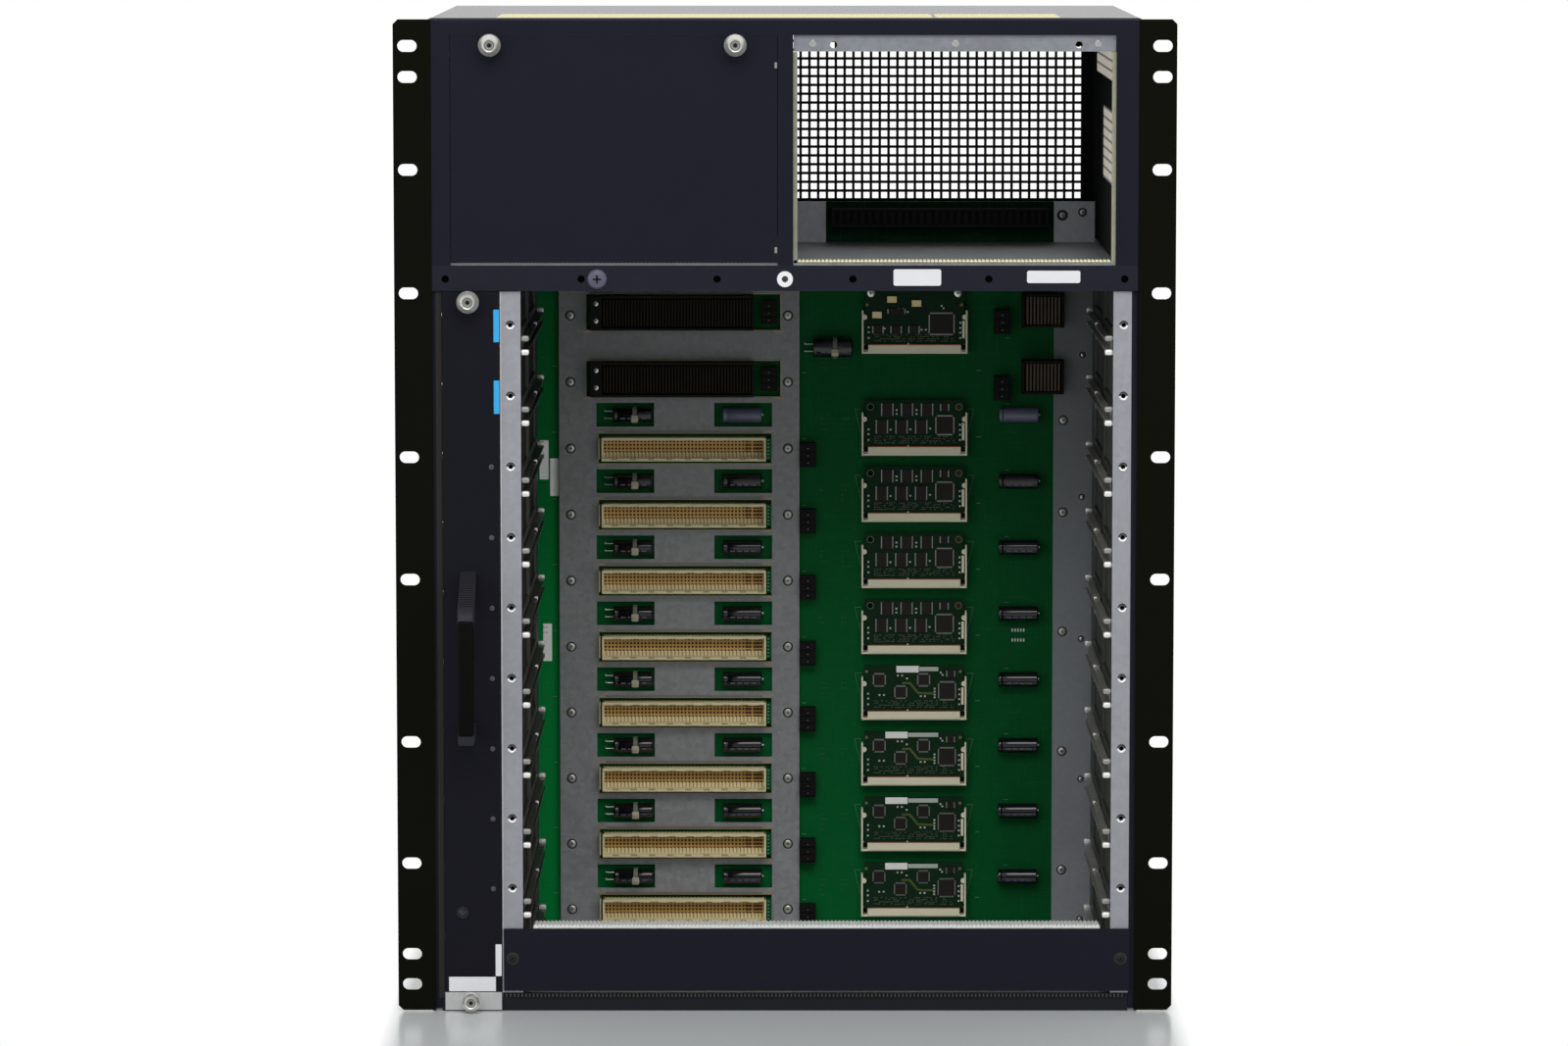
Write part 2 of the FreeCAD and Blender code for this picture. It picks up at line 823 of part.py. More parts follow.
def power_connector(label, bay_left):
    """Blade connector with a row of upright contact openings."""
    body = new_body(label)
    left = bay_left + S.power_board_inset + S.power_connector_inset
    front = S.power_board_front - S.power_connector_depth
    right = left + S.power_connector_width
    outline = rectangle(left, right, S.power_connector_bottom, S.power_connector_top)
    pad(body, "XZ_Plane", (front, S.power_board_front), [outline])
    run = S.power_contact_pitch * (POWER_CONTACTS - 1) + S.power_contact_width
    first = left + (S.power_connector_width - run) / 2
    low = S.power_connector_bottom + S.sheet_metal
    high = S.power_connector_top - S.sheet_metal
    mouth = rectangle(first, first + S.power_contact_width, low, high)
    contact = pocket(body, "XZ_Plane", (front, front + S.power_contact_depth), [mouth])
    repeat(body, [contact], "X_Axis", POWER_CONTACTS, S.power_contact_pitch)
    return piece(label, body)


def power_brackets():
    """Angles that hold the power boards to the shelf."""
    brackets = []
    metal = S.sheet_metal
    board_right = S.power_board_inset + S.power_board_width
    front = S.power_board_front
    for bay_left in (S.left_bay_left, S.right_bay_left):
        spans = ((S.power_bracket_left, S.power_board_inset), (board_right, S.power_bracket_right))
        for low, high in spans:
            ends = (bay_left + low, bay_left + high)
            face = block(ends, (front, front + metal), (S.bay_sill, S.power_board_top))
            foot = block(ends, (front + metal, front + S.fold_return), (S.bay_sill, S.bay_sill + metal))
            brackets.append(fuse(face, foot))
    return piece("power_brackets", group(*brackets))


def power_bays():
    """Everything fixed inside the two bays."""
    bay_shelf()
    bay_divider()
    bay_walls()
    bay_strips()
    contact_strips()
    for side, bay_left in (("left", S.left_bay_left), ("right", S.right_bay_left)):
        power_board(f"power_board_{side}", bay_left)
        power_connector(f"power_connector_{side}", bay_left)
    power_brackets()


# ---------------------------------------------------------------- card cage


def cage_holes(place):
    """Tapped holes down a cage flange, one for each slot."""
    return [((place, slot_height(slot)), S.flange_hole_radius) for slot in range(1, SLOTS + 1)]


def redundancy_height(slot):
    """Height of the middle of a supervisor slot's second connector."""
    return slot_height(slot) - S.redundancy_drop - S.supervisor_rise


def trim_flange(body, low, high):
    """Cuts a front flange back from the pan's lip and from the crossbar."""
    bottom = rectangle(low, high, S.sheet_metal, S.flange_bottom)
    top = rectangle(low, high, S.flange_top, S.bay_sill - S.sheet_metal)
    pocket(body, "XZ_Plane", (flange_face, flange_back), [bottom, top])


def cage_windows(body, low, high):
    """Air windows between the guides."""
    windows = []
    height = slot_height(SLOTS) - S.guide_drop + S.cage_window_above
    for column in range(CAGE_WINDOW_COLUMNS):
        front = S.cage_window_front + column * S.cage_window_pitch
        windows.append(rectangle(front, front + S.cage_window_depth, height, height + S.cage_window_height))
    row = pocket(body, "YZ_Plane", (low, high), windows)
    repeat(body, [row], "Z_Axis", SLOTS, S.slot_pitch)


def cage_walls():
    """Folded walls of the card cage with tapped front flanges."""
    metal = S.sheet_metal
    top = S.bay_sill - metal
    left = S.cage_left
    back = backplane_back + metal
    left_body = new_body("cage_wall_left")
    left_section = [
        (left - metal - S.flange_width, flange_face), (left, flange_face), (left, backplane_back),
        (left + S.fold_return, backplane_back), (left + S.fold_return, back), (left - metal, back),
        (left - metal, flange_back), (left - metal - S.flange_width, flange_back),
    ]
    pad(left_body, "XY_Plane", (metal, top), [left_section])
    trim_flange(left_body, left - metal - S.flange_width, left)
    cage_windows(left_body, left - metal, left)
    holes = cage_holes(left - S.flange_hole_offset)
    pocket(left_body, "XZ_Plane", (flange_face, flange_back), circles=holes)
    piece("cage_wall_left", left_body)

    right = S.cage_right
    front = S.backplane_front
    right_body = new_body("cage_wall_right")
    right_section = [
        (right, flange_face), (right + S.flange_width, flange_face), (right + S.flange_width, flange_back),
        (right + metal, flange_back), (right + metal, front), (S.backplane_strip_left, front),
        (S.backplane_strip_left, front - metal), (right, front - metal),
    ]
    pad(right_body, "XY_Plane", (metal, top), [right_section])
    trim_flange(right_body, right, right + S.flange_width)
    cage_windows(right_body, right, right + metal)
    holes = cage_holes(right + S.flange_hole_offset)
    pocket(right_body, "XZ_Plane", (flange_face, flange_back), circles=holes)
    notches = []
    notch_end = S.redundancy_right + S.fit_gap
    for slot in (1, 2):
        centre = redundancy_height(slot)
        half = S.redundancy_height / 2 + S.fit_gap
        notches.append(rectangle(S.backplane_strip_left, notch_end, centre - half, centre + half))
    pocket(right_body, "XZ_Plane", (front - metal, front), notches)
    piece("cage_wall_right", right_body)


def guide_rail(centre, side):
    """Outline of one rail from the side: flared at the front, with a bump half-way."""
    near = centre + side * S.guide_mouth / 2
    far = near + side * S.guide_rail
    lip = side * S.guide_flare
    front = S.guide_front
    flare_end = front + S.guide_flare_depth
    bump = S.guide_bump_depth
    bump_end = bump + S.guide_bump_length
    return [
        (front, near + lip), (flare_end, near), (S.guide_back, near), (S.guide_back, far),
        (bump_end, far), ((bump + bump_end) / 2, far + lip), (bump, far),
        (flare_end, far), (front, far + lip),
    ]


def card_guides(label, wall, side):
    """Ten channel guides; side is 1 where they reach towards +X."""
    body = new_body(label)
    centre = slot_height(SLOTS) - S.guide_drop
    tall = S.guide_mouth / 2 + S.guide_rail
    base = (wall, wall + S.guide_base) if side > 0 else (wall - S.guide_base, wall)
    reach = (wall, wall + S.guide_reach) if side > 0 else (wall - S.guide_reach, wall)
    depth = (S.guide_front + S.guide_flare_depth, S.guide_back)
    web = pad(body, "YZ_Plane", base, [rectangle(*depth, centre - tall, centre + tall)])
    rails = pad(body, "YZ_Plane", reach, [guide_rail(centre, 1), guide_rail(centre, -1)])
    repeat(body, [web, rails], "Z_Axis", SLOTS, S.slot_pitch)
    return piece(label, body)


def backplane():
    """Backplane board and the windowed steel plate that stiffens it."""
    depth = (S.backplane_front, backplane_back)
    height = (S.sheet_metal, S.bay_sill - S.sheet_metal)
    piece("backplane_board", block((S.cage_left, S.backplane_right), depth, height))

    body = new_body("backplane_stiffener")
    front = S.stiffener_front
    sheet = S.stiffener_sheet
    left = S.stiffener_left
    right = S.stiffener_right
    section = [
        (left, front), (right, front), (right, S.backplane_front), (right - sheet, S.backplane_front),
        (right - sheet, front + sheet), (left + sheet, front + sheet), (left + sheet, S.backplane_front),
        (left, S.backplane_front),
    ]
    pad(body, "XY_Plane", height, [section])
    through = (front, front + sheet)
    row = pocket(body, "XZ_Plane", through, [line_window(SLOTS)])
    repeat(body, [row], "Z_Axis", SLOTS - FIRST_LINE_SLOT + 1, S.slot_pitch)
    row = pocket(body, "XZ_Plane", through, capacitor_windows(SLOTS))
    repeat(body, [row], "Z_Axis", SLOTS - FIRST_LINE_SLOT + 1, S.slot_pitch)
    row = pocket(body, "XZ_Plane", through, [supervisor_window(2)])
    repeat(body, [row], "Z_Axis", 2, S.slot_pitch)
    piece("backplane_stiffener", body)


def line_window(slot):
    """Opening round a line card connector."""
    centre = slot_height(slot) - S.connector_drop
    half = S.line_height / 2 + S.window_margin
    left = S.line_left - S.window_margin
    return rectangle(left, S.line_right + S.line_window_end, centre - half, centre + half)


def capacitor_windows(slot):
    """The two openings over the capacitors above a line card connector."""
    centre = slot_height(slot) + S.capacitor_rise
    half = S.capacitor_window_height / 2
    windows = []
    for left in (S.capacitor_window_left, S.capacitor_window_middle):
        windows.append(rectangle(left, left + S.capacitor_window_width, centre - half, centre + half))
    return windows


def supervisor_window(slot):
    """Opening round a supervisor connector and the pole block beside it."""
    centre = slot_height(slot) - S.connector_drop + S.supervisor_rise
    half = S.supervisor_height / 2 + S.window_margin / 2
    right = S.supervisor_pole_left + S.pole_width + S.window_margin
    return rectangle(S.supervisor_left - S.window_margin, right, centre - half, centre + half)


def shrouded(left, right, centre, height, depth, wall, floor):
    """A connector body standing on the backplane with an open mouth."""
    front = S.backplane_front - depth
    outer = block((left, right), (front, S.backplane_front), (centre - height / 2, centre + height / 2))
    low = centre - height / 2 + wall
    high = centre + height / 2 - wall
    mouth = block((left + wall, right - wall), (front - OVERCUT, S.backplane_front - floor), (low, high))
    return cut(outer, mouth)


def line_card_connectors():
    """Eight pin headers, one for each line card slot."""
    headers = []
    for slot in range(FIRST_LINE_SLOT, SLOTS + 1):
        centre = slot_height(slot) - S.connector_drop
        size = (S.line_height, S.line_depth, S.line_wall, S.line_floor)
        headers.append(shrouded(S.line_left, S.line_right, centre, *size))
    return piece("line_card_connectors", group(*headers))


def supervisor_connectors():
    """Two tall dark headers, each with a solid end block at its left."""
    headers = []
    for slot in (1, 2):
        centre = slot_height(slot) - S.connector_drop + S.supervisor_rise
        size = (S.supervisor_height, S.supervisor_depth, S.supervisor_wall, S.supervisor_floor)
        inner = S.supervisor_left + S.supervisor_end
        header = shrouded(inner, S.supervisor_right, centre, *size)
        front = S.backplane_front - S.supervisor_depth
        half = S.supervisor_height / 2
        end = block((S.supervisor_left, inner), (front, S.backplane_front), (centre - half, centre + half))
        headers.append(fuse(header, end))
    return piece("supervisor_connectors", group(*headers))


def redundancy_connectors():
    """Two short tall headers beside the supervisor slots."""
    headers = []
    for slot in (1, 2):
        centre = redundancy_height(slot)
        size = (S.redundancy_height, S.supervisor_depth, S.supervisor_wall, S.supervisor_floor)
        headers.append(shrouded(S.redundancy_left, S.redundancy_right, centre, *size))
    return piece("redundancy_connectors", group(*headers))


def power_blocks():
    """Three-pole power blocks beside the connectors."""
    places = []
    for slot in range(FIRST_LINE_SLOT, SLOTS + 1):
        places.append((S.line_pole_left, slot_height(slot) - S.line_pole_drop))
    for slot in (1, 2):
        centre = slot_height(slot) - S.connector_drop + S.supervisor_rise
        places.append((S.supervisor_pole_left, centre))
        places.append((S.redundancy_pole_left, centre - S.redundancy_pole_drop))
    blocks = []
    for left, centre in places:
        half = S.pole_height / 2
        depth = (S.backplane_front - S.pole_depth, S.backplane_front)
        blocks.append(block((left, left + S.pole_width), depth, (centre - half, centre + half)))
    return piece("power_blocks", group(*blocks))


def bulk_capacitors():
    """Cylindrical capacitors that lie flat on the backplane."""
    cans = []
    for slot in range(FIRST_LINE_SLOT, SLOTS + 1):
        height = slot_height(slot) + S.capacitor_rise
        for left in (S.capacitor_left, S.capacitor_middle, S.capacitor_right):
            cans.append(capacitor(left, height, S.capacitor_radius))
    cans.append(capacitor(S.main_capacitor_left, S.main_capacitor_height, S.main_capacitor_radius))
    return piece("bulk_capacitors", group(*cans))


def capacitor(left, height, radius):
    """One capacitor that touches the board along its side."""
    axis = (S.backplane_front - radius, height)
    return prism("x", (left, left + S.capacitor_length), axis, radius, CAPACITOR_SIDES)


def module_places():
    """Bottom of each module socket, lower slots first and the clock module last."""
    slots = range(FIRST_LINE_SLOT, SLOTS + 1)
    return [slot_height(slot) - S.socket_drop for slot in slots] + [S.clock_bottom]


def module_sockets():
    """U-shaped edge sockets for the small plug-in modules."""
    sockets = []
    left = S.socket_left
    right = left + S.socket_width
    arm = S.socket_arm_width
    for bottom in module_places():
        front = S.backplane_front - S.socket_depth
        bar_top = bottom + S.socket_bar
        depth = (front, S.backplane_front)
        bar = block((left, right), depth, (bottom, bar_top))
        height = (bar_top, bottom + S.socket_arm_height)
        arms = [block(ends, depth, height) for ends in ((left, left + arm), (right - arm, right))]
        groove_depth = (S.module_front - S.slip_gap, S.module_front + S.module_thickness + S.slip_gap)
        inside = (left + arm, right - arm)
        groove = block(inside, groove_depth, (bar_top - S.module_groove, bar_top + OVERCUT))
        sockets.append(cut(fuse(bar, *arms), groove))
    return piece("module_sockets", group(*sockets))


def module_board(bottom, height, chips):
    """A module: its board with chips given as X, Z, width and height from its corner."""
    play = S.slip_gap
    left = S.socket_left + S.socket_arm_width + play
    right = S.socket_left + S.socket_width - S.socket_arm_width - play
    low = bottom + S.socket_bar - S.module_groove + play
    depth = (S.module_front, S.module_front + S.module_thickness)
    board = block((left, right), depth, (low, bottom + height))
    front = (S.module_front - S.chip_height, S.module_front)
    blocks = []
    for across, up, wide, tall in chips:
        start = S.socket_left + across
        base = bottom + up
        blocks.append(block((start, start + wide), front, (base, base + tall)))
    return fuse(board, *blocks)


UPPER_CHIPS = (
    (13.4, 24.0, 5.0, 8.0), (26.6, 24.0, 5.0, 8.0), (39.8, 24.0, 5.0, 8.0), (51.8, 27.6, 4.6, 4.6),
    (9.4, 13.6, 5.0, 8.0), (22.6, 13.6, 5.0, 8.0), (35.8, 13.6, 5.0, 8.0), (49.4, 14.0, 9.6, 9.6),
)
LOWER_CHIPS = (
    (8.6, 22.4, 6.6, 6.6), (38.6, 22.4, 6.6, 6.6), (23.0, 15.4, 6.6, 6.6),
    (52.0, 14.6, 9.8, 9.8), (58.0, 28.0, 4.4, 4.4),
)
CLOCK_CHIPS = (
    (44.8, 13.2, 15.6, 13.0), (7.6, 13.0, 6.0, 5.6), (19.6, 13.0, 6.0, 5.6), (31.4, 13.0, 6.0, 5.6),
    (17.6, 26.0, 10.4, 3.8), (6.8, 23.4, 6.4, 4.4), (16.6, 33.6, 6.4, 4.4), (32.8, 31.0, 6.4, 4.4),
)


def modules():
    """The slot modules in their two patterns, and the clock module above them."""
    places = module_places()
    upper = [module_board(bottom, S.module_height, UPPER_CHIPS) for bottom in places[:UPPER_MODULES]]
    lower = [module_board(bottom, S.module_height, LOWER_CHIPS) for bottom in places[UPPER_MODULES:-1]]
    piece("upper_slot_modules", group(*upper))
    piece("lower_slot_modules", group(*lower))
    piece("clock_module", module_board(places[-1], S.clock_height, CLOCK_CHIPS))


def card_cage():
    """Walls, guides, backplane and what stands on it."""
    cage_walls()
    card_guides("card_guides_left", S.cage_left, 1)
    card_guides("card_guides_right", S.cage_right, -1)
    backplane()
    line_card_connectors()
    supervisor_connectors()
    redundancy_connectors()
    power_blocks()
    bulk_capacitors()
    module_sockets()
    modules()


# ---------------------------------------------------------------- crossbar fitting


def esd_jack():
    """Wrist-strap jack in the middle of the crossbar."""
    jack = turned("esd_jack", (0, S.crossbar_axis), [
        (S.jack_bore, -S.jack_lip), (S.jack_radius, -S.jack_lip), (S.jack_radius, 0), (S.jack_barrel, 0),
        (S.jack_barrel, S.jack_length - S.jack_lip), (S.jack_bore, S.jack_length - S.jack_lip),
    ])
    return piece("esd_jack", jack)


# ---------------------------------------------------------------- fan tray


def fan_tray_panel():
    """Front plate of the fan tray."""
    body = new_body("fan_tray_panel")
    outline = rectangle(S.tray_left, S.tray_right, S.tray_panel_bottom, S.tray_panel_top)
    pad(body, "XZ_Plane", (0, S.bezel_thickness), [outline])
    hole = ((S.tray_knob_place, S.tray_knob_height), S.screw_shank + S.screw_play)
    pocket(body, "XZ_Plane", (0, S.bezel_thickness), circles=[hole])
    return piece("fan_tray_panel", body)


def fan_centres():
    """Depth and height of each fan's axis."""
    first = S.bezel_thickness + fan_gap + S.fan_side / 2
    centres = []
    for row in range(FAN_ROWS):
        for column in range(FAN_COLUMNS):
            height = S.fan_middle + (row - (FAN_ROWS - 1) / 2) * S.fan_row_pitch
            centres.append((first + column * (S.fan_side + fan_gap), height))
    return centres


def fan_port(depth, height):
    """Eight-sided opening in the carrier that clears a fan's bore."""
    far = S.fan_bore
    near = S.fan_port_corner
    return [
        (depth - near, height - far), (depth + near, height - far), (depth + far, height - near),
        (depth + far, height + near), (depth + near, height + far), (depth - near, height + far),
        (depth - far, height + near), (depth - far, height - near),
    ]


def fan_tray_frame():
    """Folded carrier of the fans, with the bright foot that shows under the panel."""
    body = new_body("fan_tray_frame")
    metal = S.sheet_metal
    floor = S.tray_rail_height + S.fit_gap
    left = S.tray_frame_left
    right = S.tray_frame_right
    top = S.tray_frame_top
    channel = [
        (left, floor), (right, floor), (right, top), (left, top), (left, top - metal),
        (right - metal, top - metal), (right - metal, floor + metal), (left, floor + metal),
    ]
    pad(body, "XZ_Plane", (flange_back, tray_back), [channel])
    ends = rectangle(left, right, floor, top)
    pad(body, "XZ_Plane", (S.bezel_thickness, flange_back), [ends])
    pad(body, "XZ_Plane", (tray_back, tray_back + metal), [ends])
    foot = rectangle(S.tray_left, S.tray_right, S.tray_foot_bottom, S.tray_foot_top)
    pad(body, "XZ_Plane", (0, S.bezel_thickness), [foot])
    low_hole = ((S.tray_knob_place, S.tray_low_knob_height), S.screw_shank + S.screw_play)
    pocket(body, "XZ_Plane", (0, S.bezel_thickness), circles=[low_hole])
    pocket(body, "YZ_Plane", (right - metal, right), [fan_port(*centre) for centre in fan_centres()])
    return piece("fan_tray_frame", body)


def fan_tray_handle():
    """Pull handle with a sloping upper leg and a square lower one."""
    body = new_body("fan_tray_handle")
    reach = -S.handle_reach
    inner = S.handle_bar - S.handle_reach
    top = S.handle_top
    bottom = S.handle_bottom
    outline = [
        (0, top), (reach + S.handle_corner, top - S.handle_shoulder), (reach, top - S.handle_slope),
        (reach, bottom + S.handle_corner), (reach + S.handle_corner, bottom), (0, bottom),
        (0, bottom + S.handle_lower_foot), (inner - S.handle_inner_corner, bottom + S.handle_lower_foot),
        (inner, bottom + S.handle_lower_foot + S.handle_inner_corner),
        (inner, top - S.handle_slope - S.handle_upper_foot / 2), (0, top - S.handle_upper_foot),
    ]
    pad(body, "YZ_Plane", (S.handle_left, S.handle_left + S.handle_width), [outline])
    return piece("fan_tray_handle", body)


def plug_face():
    """Width and height of the tray's plug, as low and high places."""
    middle = (S.tray_frame_left + S.tray_frame_right) / 2
    half_width = S.tray_plug_width / 2
    half_height = S.tray_plug_height / 2
    width = (middle - half_width, middle + half_width)
    return width, (S.fan_middle - half_height, S.fan_middle + half_height)


def fan_tray_plug():
    """Power plug on the back of the tray."""
    back = tray_back + S.sheet_metal
    width, height = plug_face()
    return piece("fan_tray_plug", block(width, (back, back + S.tray_plug_depth), height))


def fan_faces():
    """Left and right faces of the fans, which stand against the carrier."""
    right = S.tray_frame_right - S.sheet_metal
    return right - S.fan_depth, right


def fan_housings():
    """Square fan frames with a round bore and a motor mount on four struts."""
    left, right = fan_faces()
    housings = []
    half = S.fan_side / 2
    for depth, height in fan_centres():
        outer = block((left, right), (depth - half, depth + half), (height - half, height + half))
        bore = prism("x", (left - OVERCUT, right + OVERCUT), (depth, height), S.fan_bore, BORE_SIDES)
        plate = (left, left + S.fan_motor_depth)
        motor = prism("x", plate, (depth, height), S.fan_motor, HUB_SIDES)
        strut = S.fan_strut / 2
        reach = S.fan_bore + OVERCUT
        level = block(plate, (depth - reach, depth + reach), (height - strut, height + strut))
        upright = block(plate, (depth - strut, depth + strut), (height - reach, height + reach))
        housings.append(fuse(cut(outer, bore), motor, level, upright))
    return piece("fan_housings", group(*housings))


def fan_rotor(number, depth, height):
    """A hub with pitched blades that turns on the motor."""
    left, right = fan_faces()
    start = left + S.fan_motor_depth + S.fan_bearing_gap
    end = right - S.fan_running_gap
    body = new_body(f"fan_rotor_{number}")
    hub = body.newObject("PartDesign::AdditivePrism", "Hub")
    hub.AttachmentSupport = [(origin_part(body, "YZ_Plane"), "")]
    hub.MapMode = "FlatFace"
    hub.Polygon = HUB_SIDES
    bind(hub, "AttachmentOffset.Base.z", start)
    bind(hub, "Circumradius", S.fan_hub)
    bind(hub, "Height", end - start)
    middle = (start + end) / 2
    sketch = new_sketch(body, "XY_Plane", S.fan_blade_root)
    half_width = S.fan_blade_width / 2
    half_sheet = S.fan_blade_thickness / 2
    draw_loop(sketch, rectangle(-half_width, half_width, -half_sheet, half_sheet))
    bind(sketch, "AttachmentOffset.Base.x", middle)
    bind(sketch, "AttachmentOffset.Rotation.Angle", S.fan_blade_pitch_angle)
    blade = body.newObject("PartDesign::Pad", "Blade")
    blade.Profile = sketch
    bind(blade, "Length", S.fan_blade_tip - S.fan_blade_root)
    wheel = body.newObject("PartDesign::PolarPattern", "Blades")
    wheel.Originals = [blade]
    wheel.Axis = (origin_part(body, "X_Axis"), [""])
    wheel.Angle = 360
    wheel.Occurrences = FAN_BLADES
    body.Tip = wheel
    bind(body, "Placement.Base.z", height)
    body.Label = f"fan_rotor_{number}"
    bind(body, "Placement.Base.y", depth + mid_y)
    pieces.append(body)


def thumbscrew(label, place, height, radius, face):
    """A captive knurled screw, let go, so that its tip ends inside the panel behind it."""
    centre = (place, height)
    knob_back = face - S.screw_play
    neck_front = knob_back - S.knob_collar
    knob = prism("y", (knob_back - S.knob_length, neck_front), centre, radius, KNOB_SIDES)
    neck = prism("y", (neck_front, knob_back), centre, S.knob_neck, HUB_SIDES)
    shank = rod("y", (knob_back, face + S.sheet_metal), centre, S.screw_shank)
    return piece(label, fuse(knob, neck, shank))


def tray_rails():
    """Folded rails that the tray runs between; their front faces are tapped for its screws."""
    metal = S.sheet_metal
    left = S.tray_frame_left
    right = S.tray_frame_right
    back = tray_back
    rails = []
    depth = (flange_back, back)
    through = (flange_back - OVERCUT, flange_back + metal + OVERCUT)
    levels = (
        (metal, S.tray_rail_height, S.tray_low_knob_height),
        (S.tray_frame_top + S.fit_gap, S.bay_sill - metal, S.tray_knob_height),
    )
    for low, high, screw in levels:
        face = block((left, right), (flange_back, flange_back + metal), (low, high))
        sides = [block(ends, depth, (low, high)) for ends in ((left, left + metal), (right - metal, right))]
        web = block((left, right), depth, (low, low + metal))
        hole = rod("y", through, (S.tray_knob_place, screw), S.screw_shank + S.screw_play / 2)
        rails.append(cut(fuse(face, web, *sides), hole))
    return piece("tray_rails", group(*rails))


def fan_tray_socket():
    """Fixed socket on the rear panel that the tray's plug pushes up to."""
    front = tray_back + S.sheet_metal + S.tray_plug_depth + S.fit_gap
    width, height = plug_face()
    return piece("fan_tray_socket", block(width, (front, rear_face - S.sheet_metal), height))


def fan_tray():
    """The whole tray: panel, carrier, fans, handle and screws."""
    tray_rails()
    fan_tray_socket()
    fan_tray_panel()
    fan_tray_frame()
    fan_tray_handle()
    fan_tray_plug()
    fan_housings()
    for number, (depth, height) in enumerate(fan_centres(), start=1):
        fan_rotor(number, depth, height)
    thumbscrew("tray_thumbscrew_top", S.tray_knob_place, S.tray_knob_height, S.knob_radius, 0)
    thumbscrew("tray_thumbscrew_bottom", S.tray_knob_place, S.tray_low_knob_height, S.small_knob_radius, 0)


# ---------------------------------------------------------------- removable panels


def bay_cover():
    """Blank cover over the left power bay, with folded sides."""
    body = new_body("bay_cover")
    gap = S.fit_gap
    metal = S.sheet_metal
    left = S.left_bay_left + gap
    right = S.left_bay_right - gap
    back = S.bezel_thickness - S.slip_gap
    low = S.bay_sill + gap
    outline = rectangle(left, right, low, bay_head - gap)
    pad(body, "XZ_Plane", (back - metal, back), [outline])
    folds = [
        rectangle(left, left + metal, back, S.fold_return),
        rectangle(right - metal, right, back, S.fold_return),
    ]
    pad(body, "XY_Plane", (low + gap, bay_strip_bottom - S.side_band), folds)
    holes = []
    for number in range(2):
        place = S.left_bay_left + S.bay_screw_inset + number * S.bay_screw_spacing
        holes.append(((place, bay_screw_height), S.screw_shank + S.screw_play))
    pocket(body, "XZ_Plane", (back - metal, back), circles=holes)
    piece("bay_cover", body)
    for number, side in enumerate(("left", "right")):
        place = S.left_bay_left + S.bay_screw_inset + number * S.bay_screw_spacing
        thumbscrew(f"cover_thumbscrew_{side}", place, bay_screw_height, S.knob_radius, back - metal)


def slot_blank():
    """Panel over the lowest slot and its contact strip."""
    body = new_body("slot_blank")
    metal = S.sheet_metal
    left = S.cage_left - S.blank_margin
    right = S.cage_right + S.blank_margin
    back = S.bezel_thickness - S.slip_gap
    pad(body, "XZ_Plane", (back - metal, back), [rectangle(left, right, S.blank_bottom, S.blank_top)])
    inner = (S.cage_left + S.guide_reach + metal, S.cage_right - S.guide_reach - metal)
    folds = [
        rectangle(*inner, S.blank_bottom, S.blank_bottom + metal),
        rectangle(*inner, S.blank_top - metal, S.blank_top),
    ]
    pad(body, "XZ_Plane", (back, S.blank_fold), folds)
    height = slot_height(SLOTS)
    places = (S.cage_left - S.flange_hole_offset, S.cage_right + S.flange_hole_offset)
    holes = [((place, height), S.flange_hole_radius) for place in places]
    pocket(body, "XZ_Plane", (back - metal, back), circles=holes)
    piece("slot_blank", body)
    depth = (S.bezel_thickness, S.blank_fold)
    piece("blank_gasket", block(inner, depth, (S.blank_top, S.blank_top + S.gasket_height)))


# ---------------------------------------------------------------- build and write


def build():
    """Makes every sub-part in the document."""
    bottom_pan()
    top_cover()
    side_wall()
    rear_panel()
    front_frame()
    crossbar()
    rack_ears()
    power_bays()
    card_cage()
    esd_jack()
    fan_tray()
    bay_cover()
    slot_blank()
    doc.recompute()


def check():
    """Stops if any object failed or any sub-part is not a sound solid."""
    for thing in doc.Objects:
        if "Invalid" in thing.State or "Error" in thing.State:
            raise RuntimeError(f"{thing.Name} ({thing.Label}) failed: {thing.State}")
    for thing in pieces:
        shape = thing.Shape
        if shape.isNull() or not shape.isValid() or not shape.Solids:
            raise RuntimeError(f"{thing.Label} is not a sound solid")


def write():
    """Writes each sub-part to its own STEP file."""
    os.makedirs("parts", exist_ok=True)
    for thing in pieces:
        thing.Shape.exportStep(os.path.join("parts", f"{thing.Label}.step"))
    print(len(pieces), "sub-parts written")


build()
check()
write()
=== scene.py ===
"""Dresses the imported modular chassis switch: finishes, fine parts, studio and camera.

Every length in this file is in millimetres unless a name says otherwise, and a mesh is brought to
metres when it is finished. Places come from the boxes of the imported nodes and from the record.
"""

import functools
import json
import logging
import math
import random
from dataclasses import dataclass
from enum import Enum
from typing import Callable, Iterable, Sequence

import bmesh
import bpy
from mathutils import Matrix, Vector


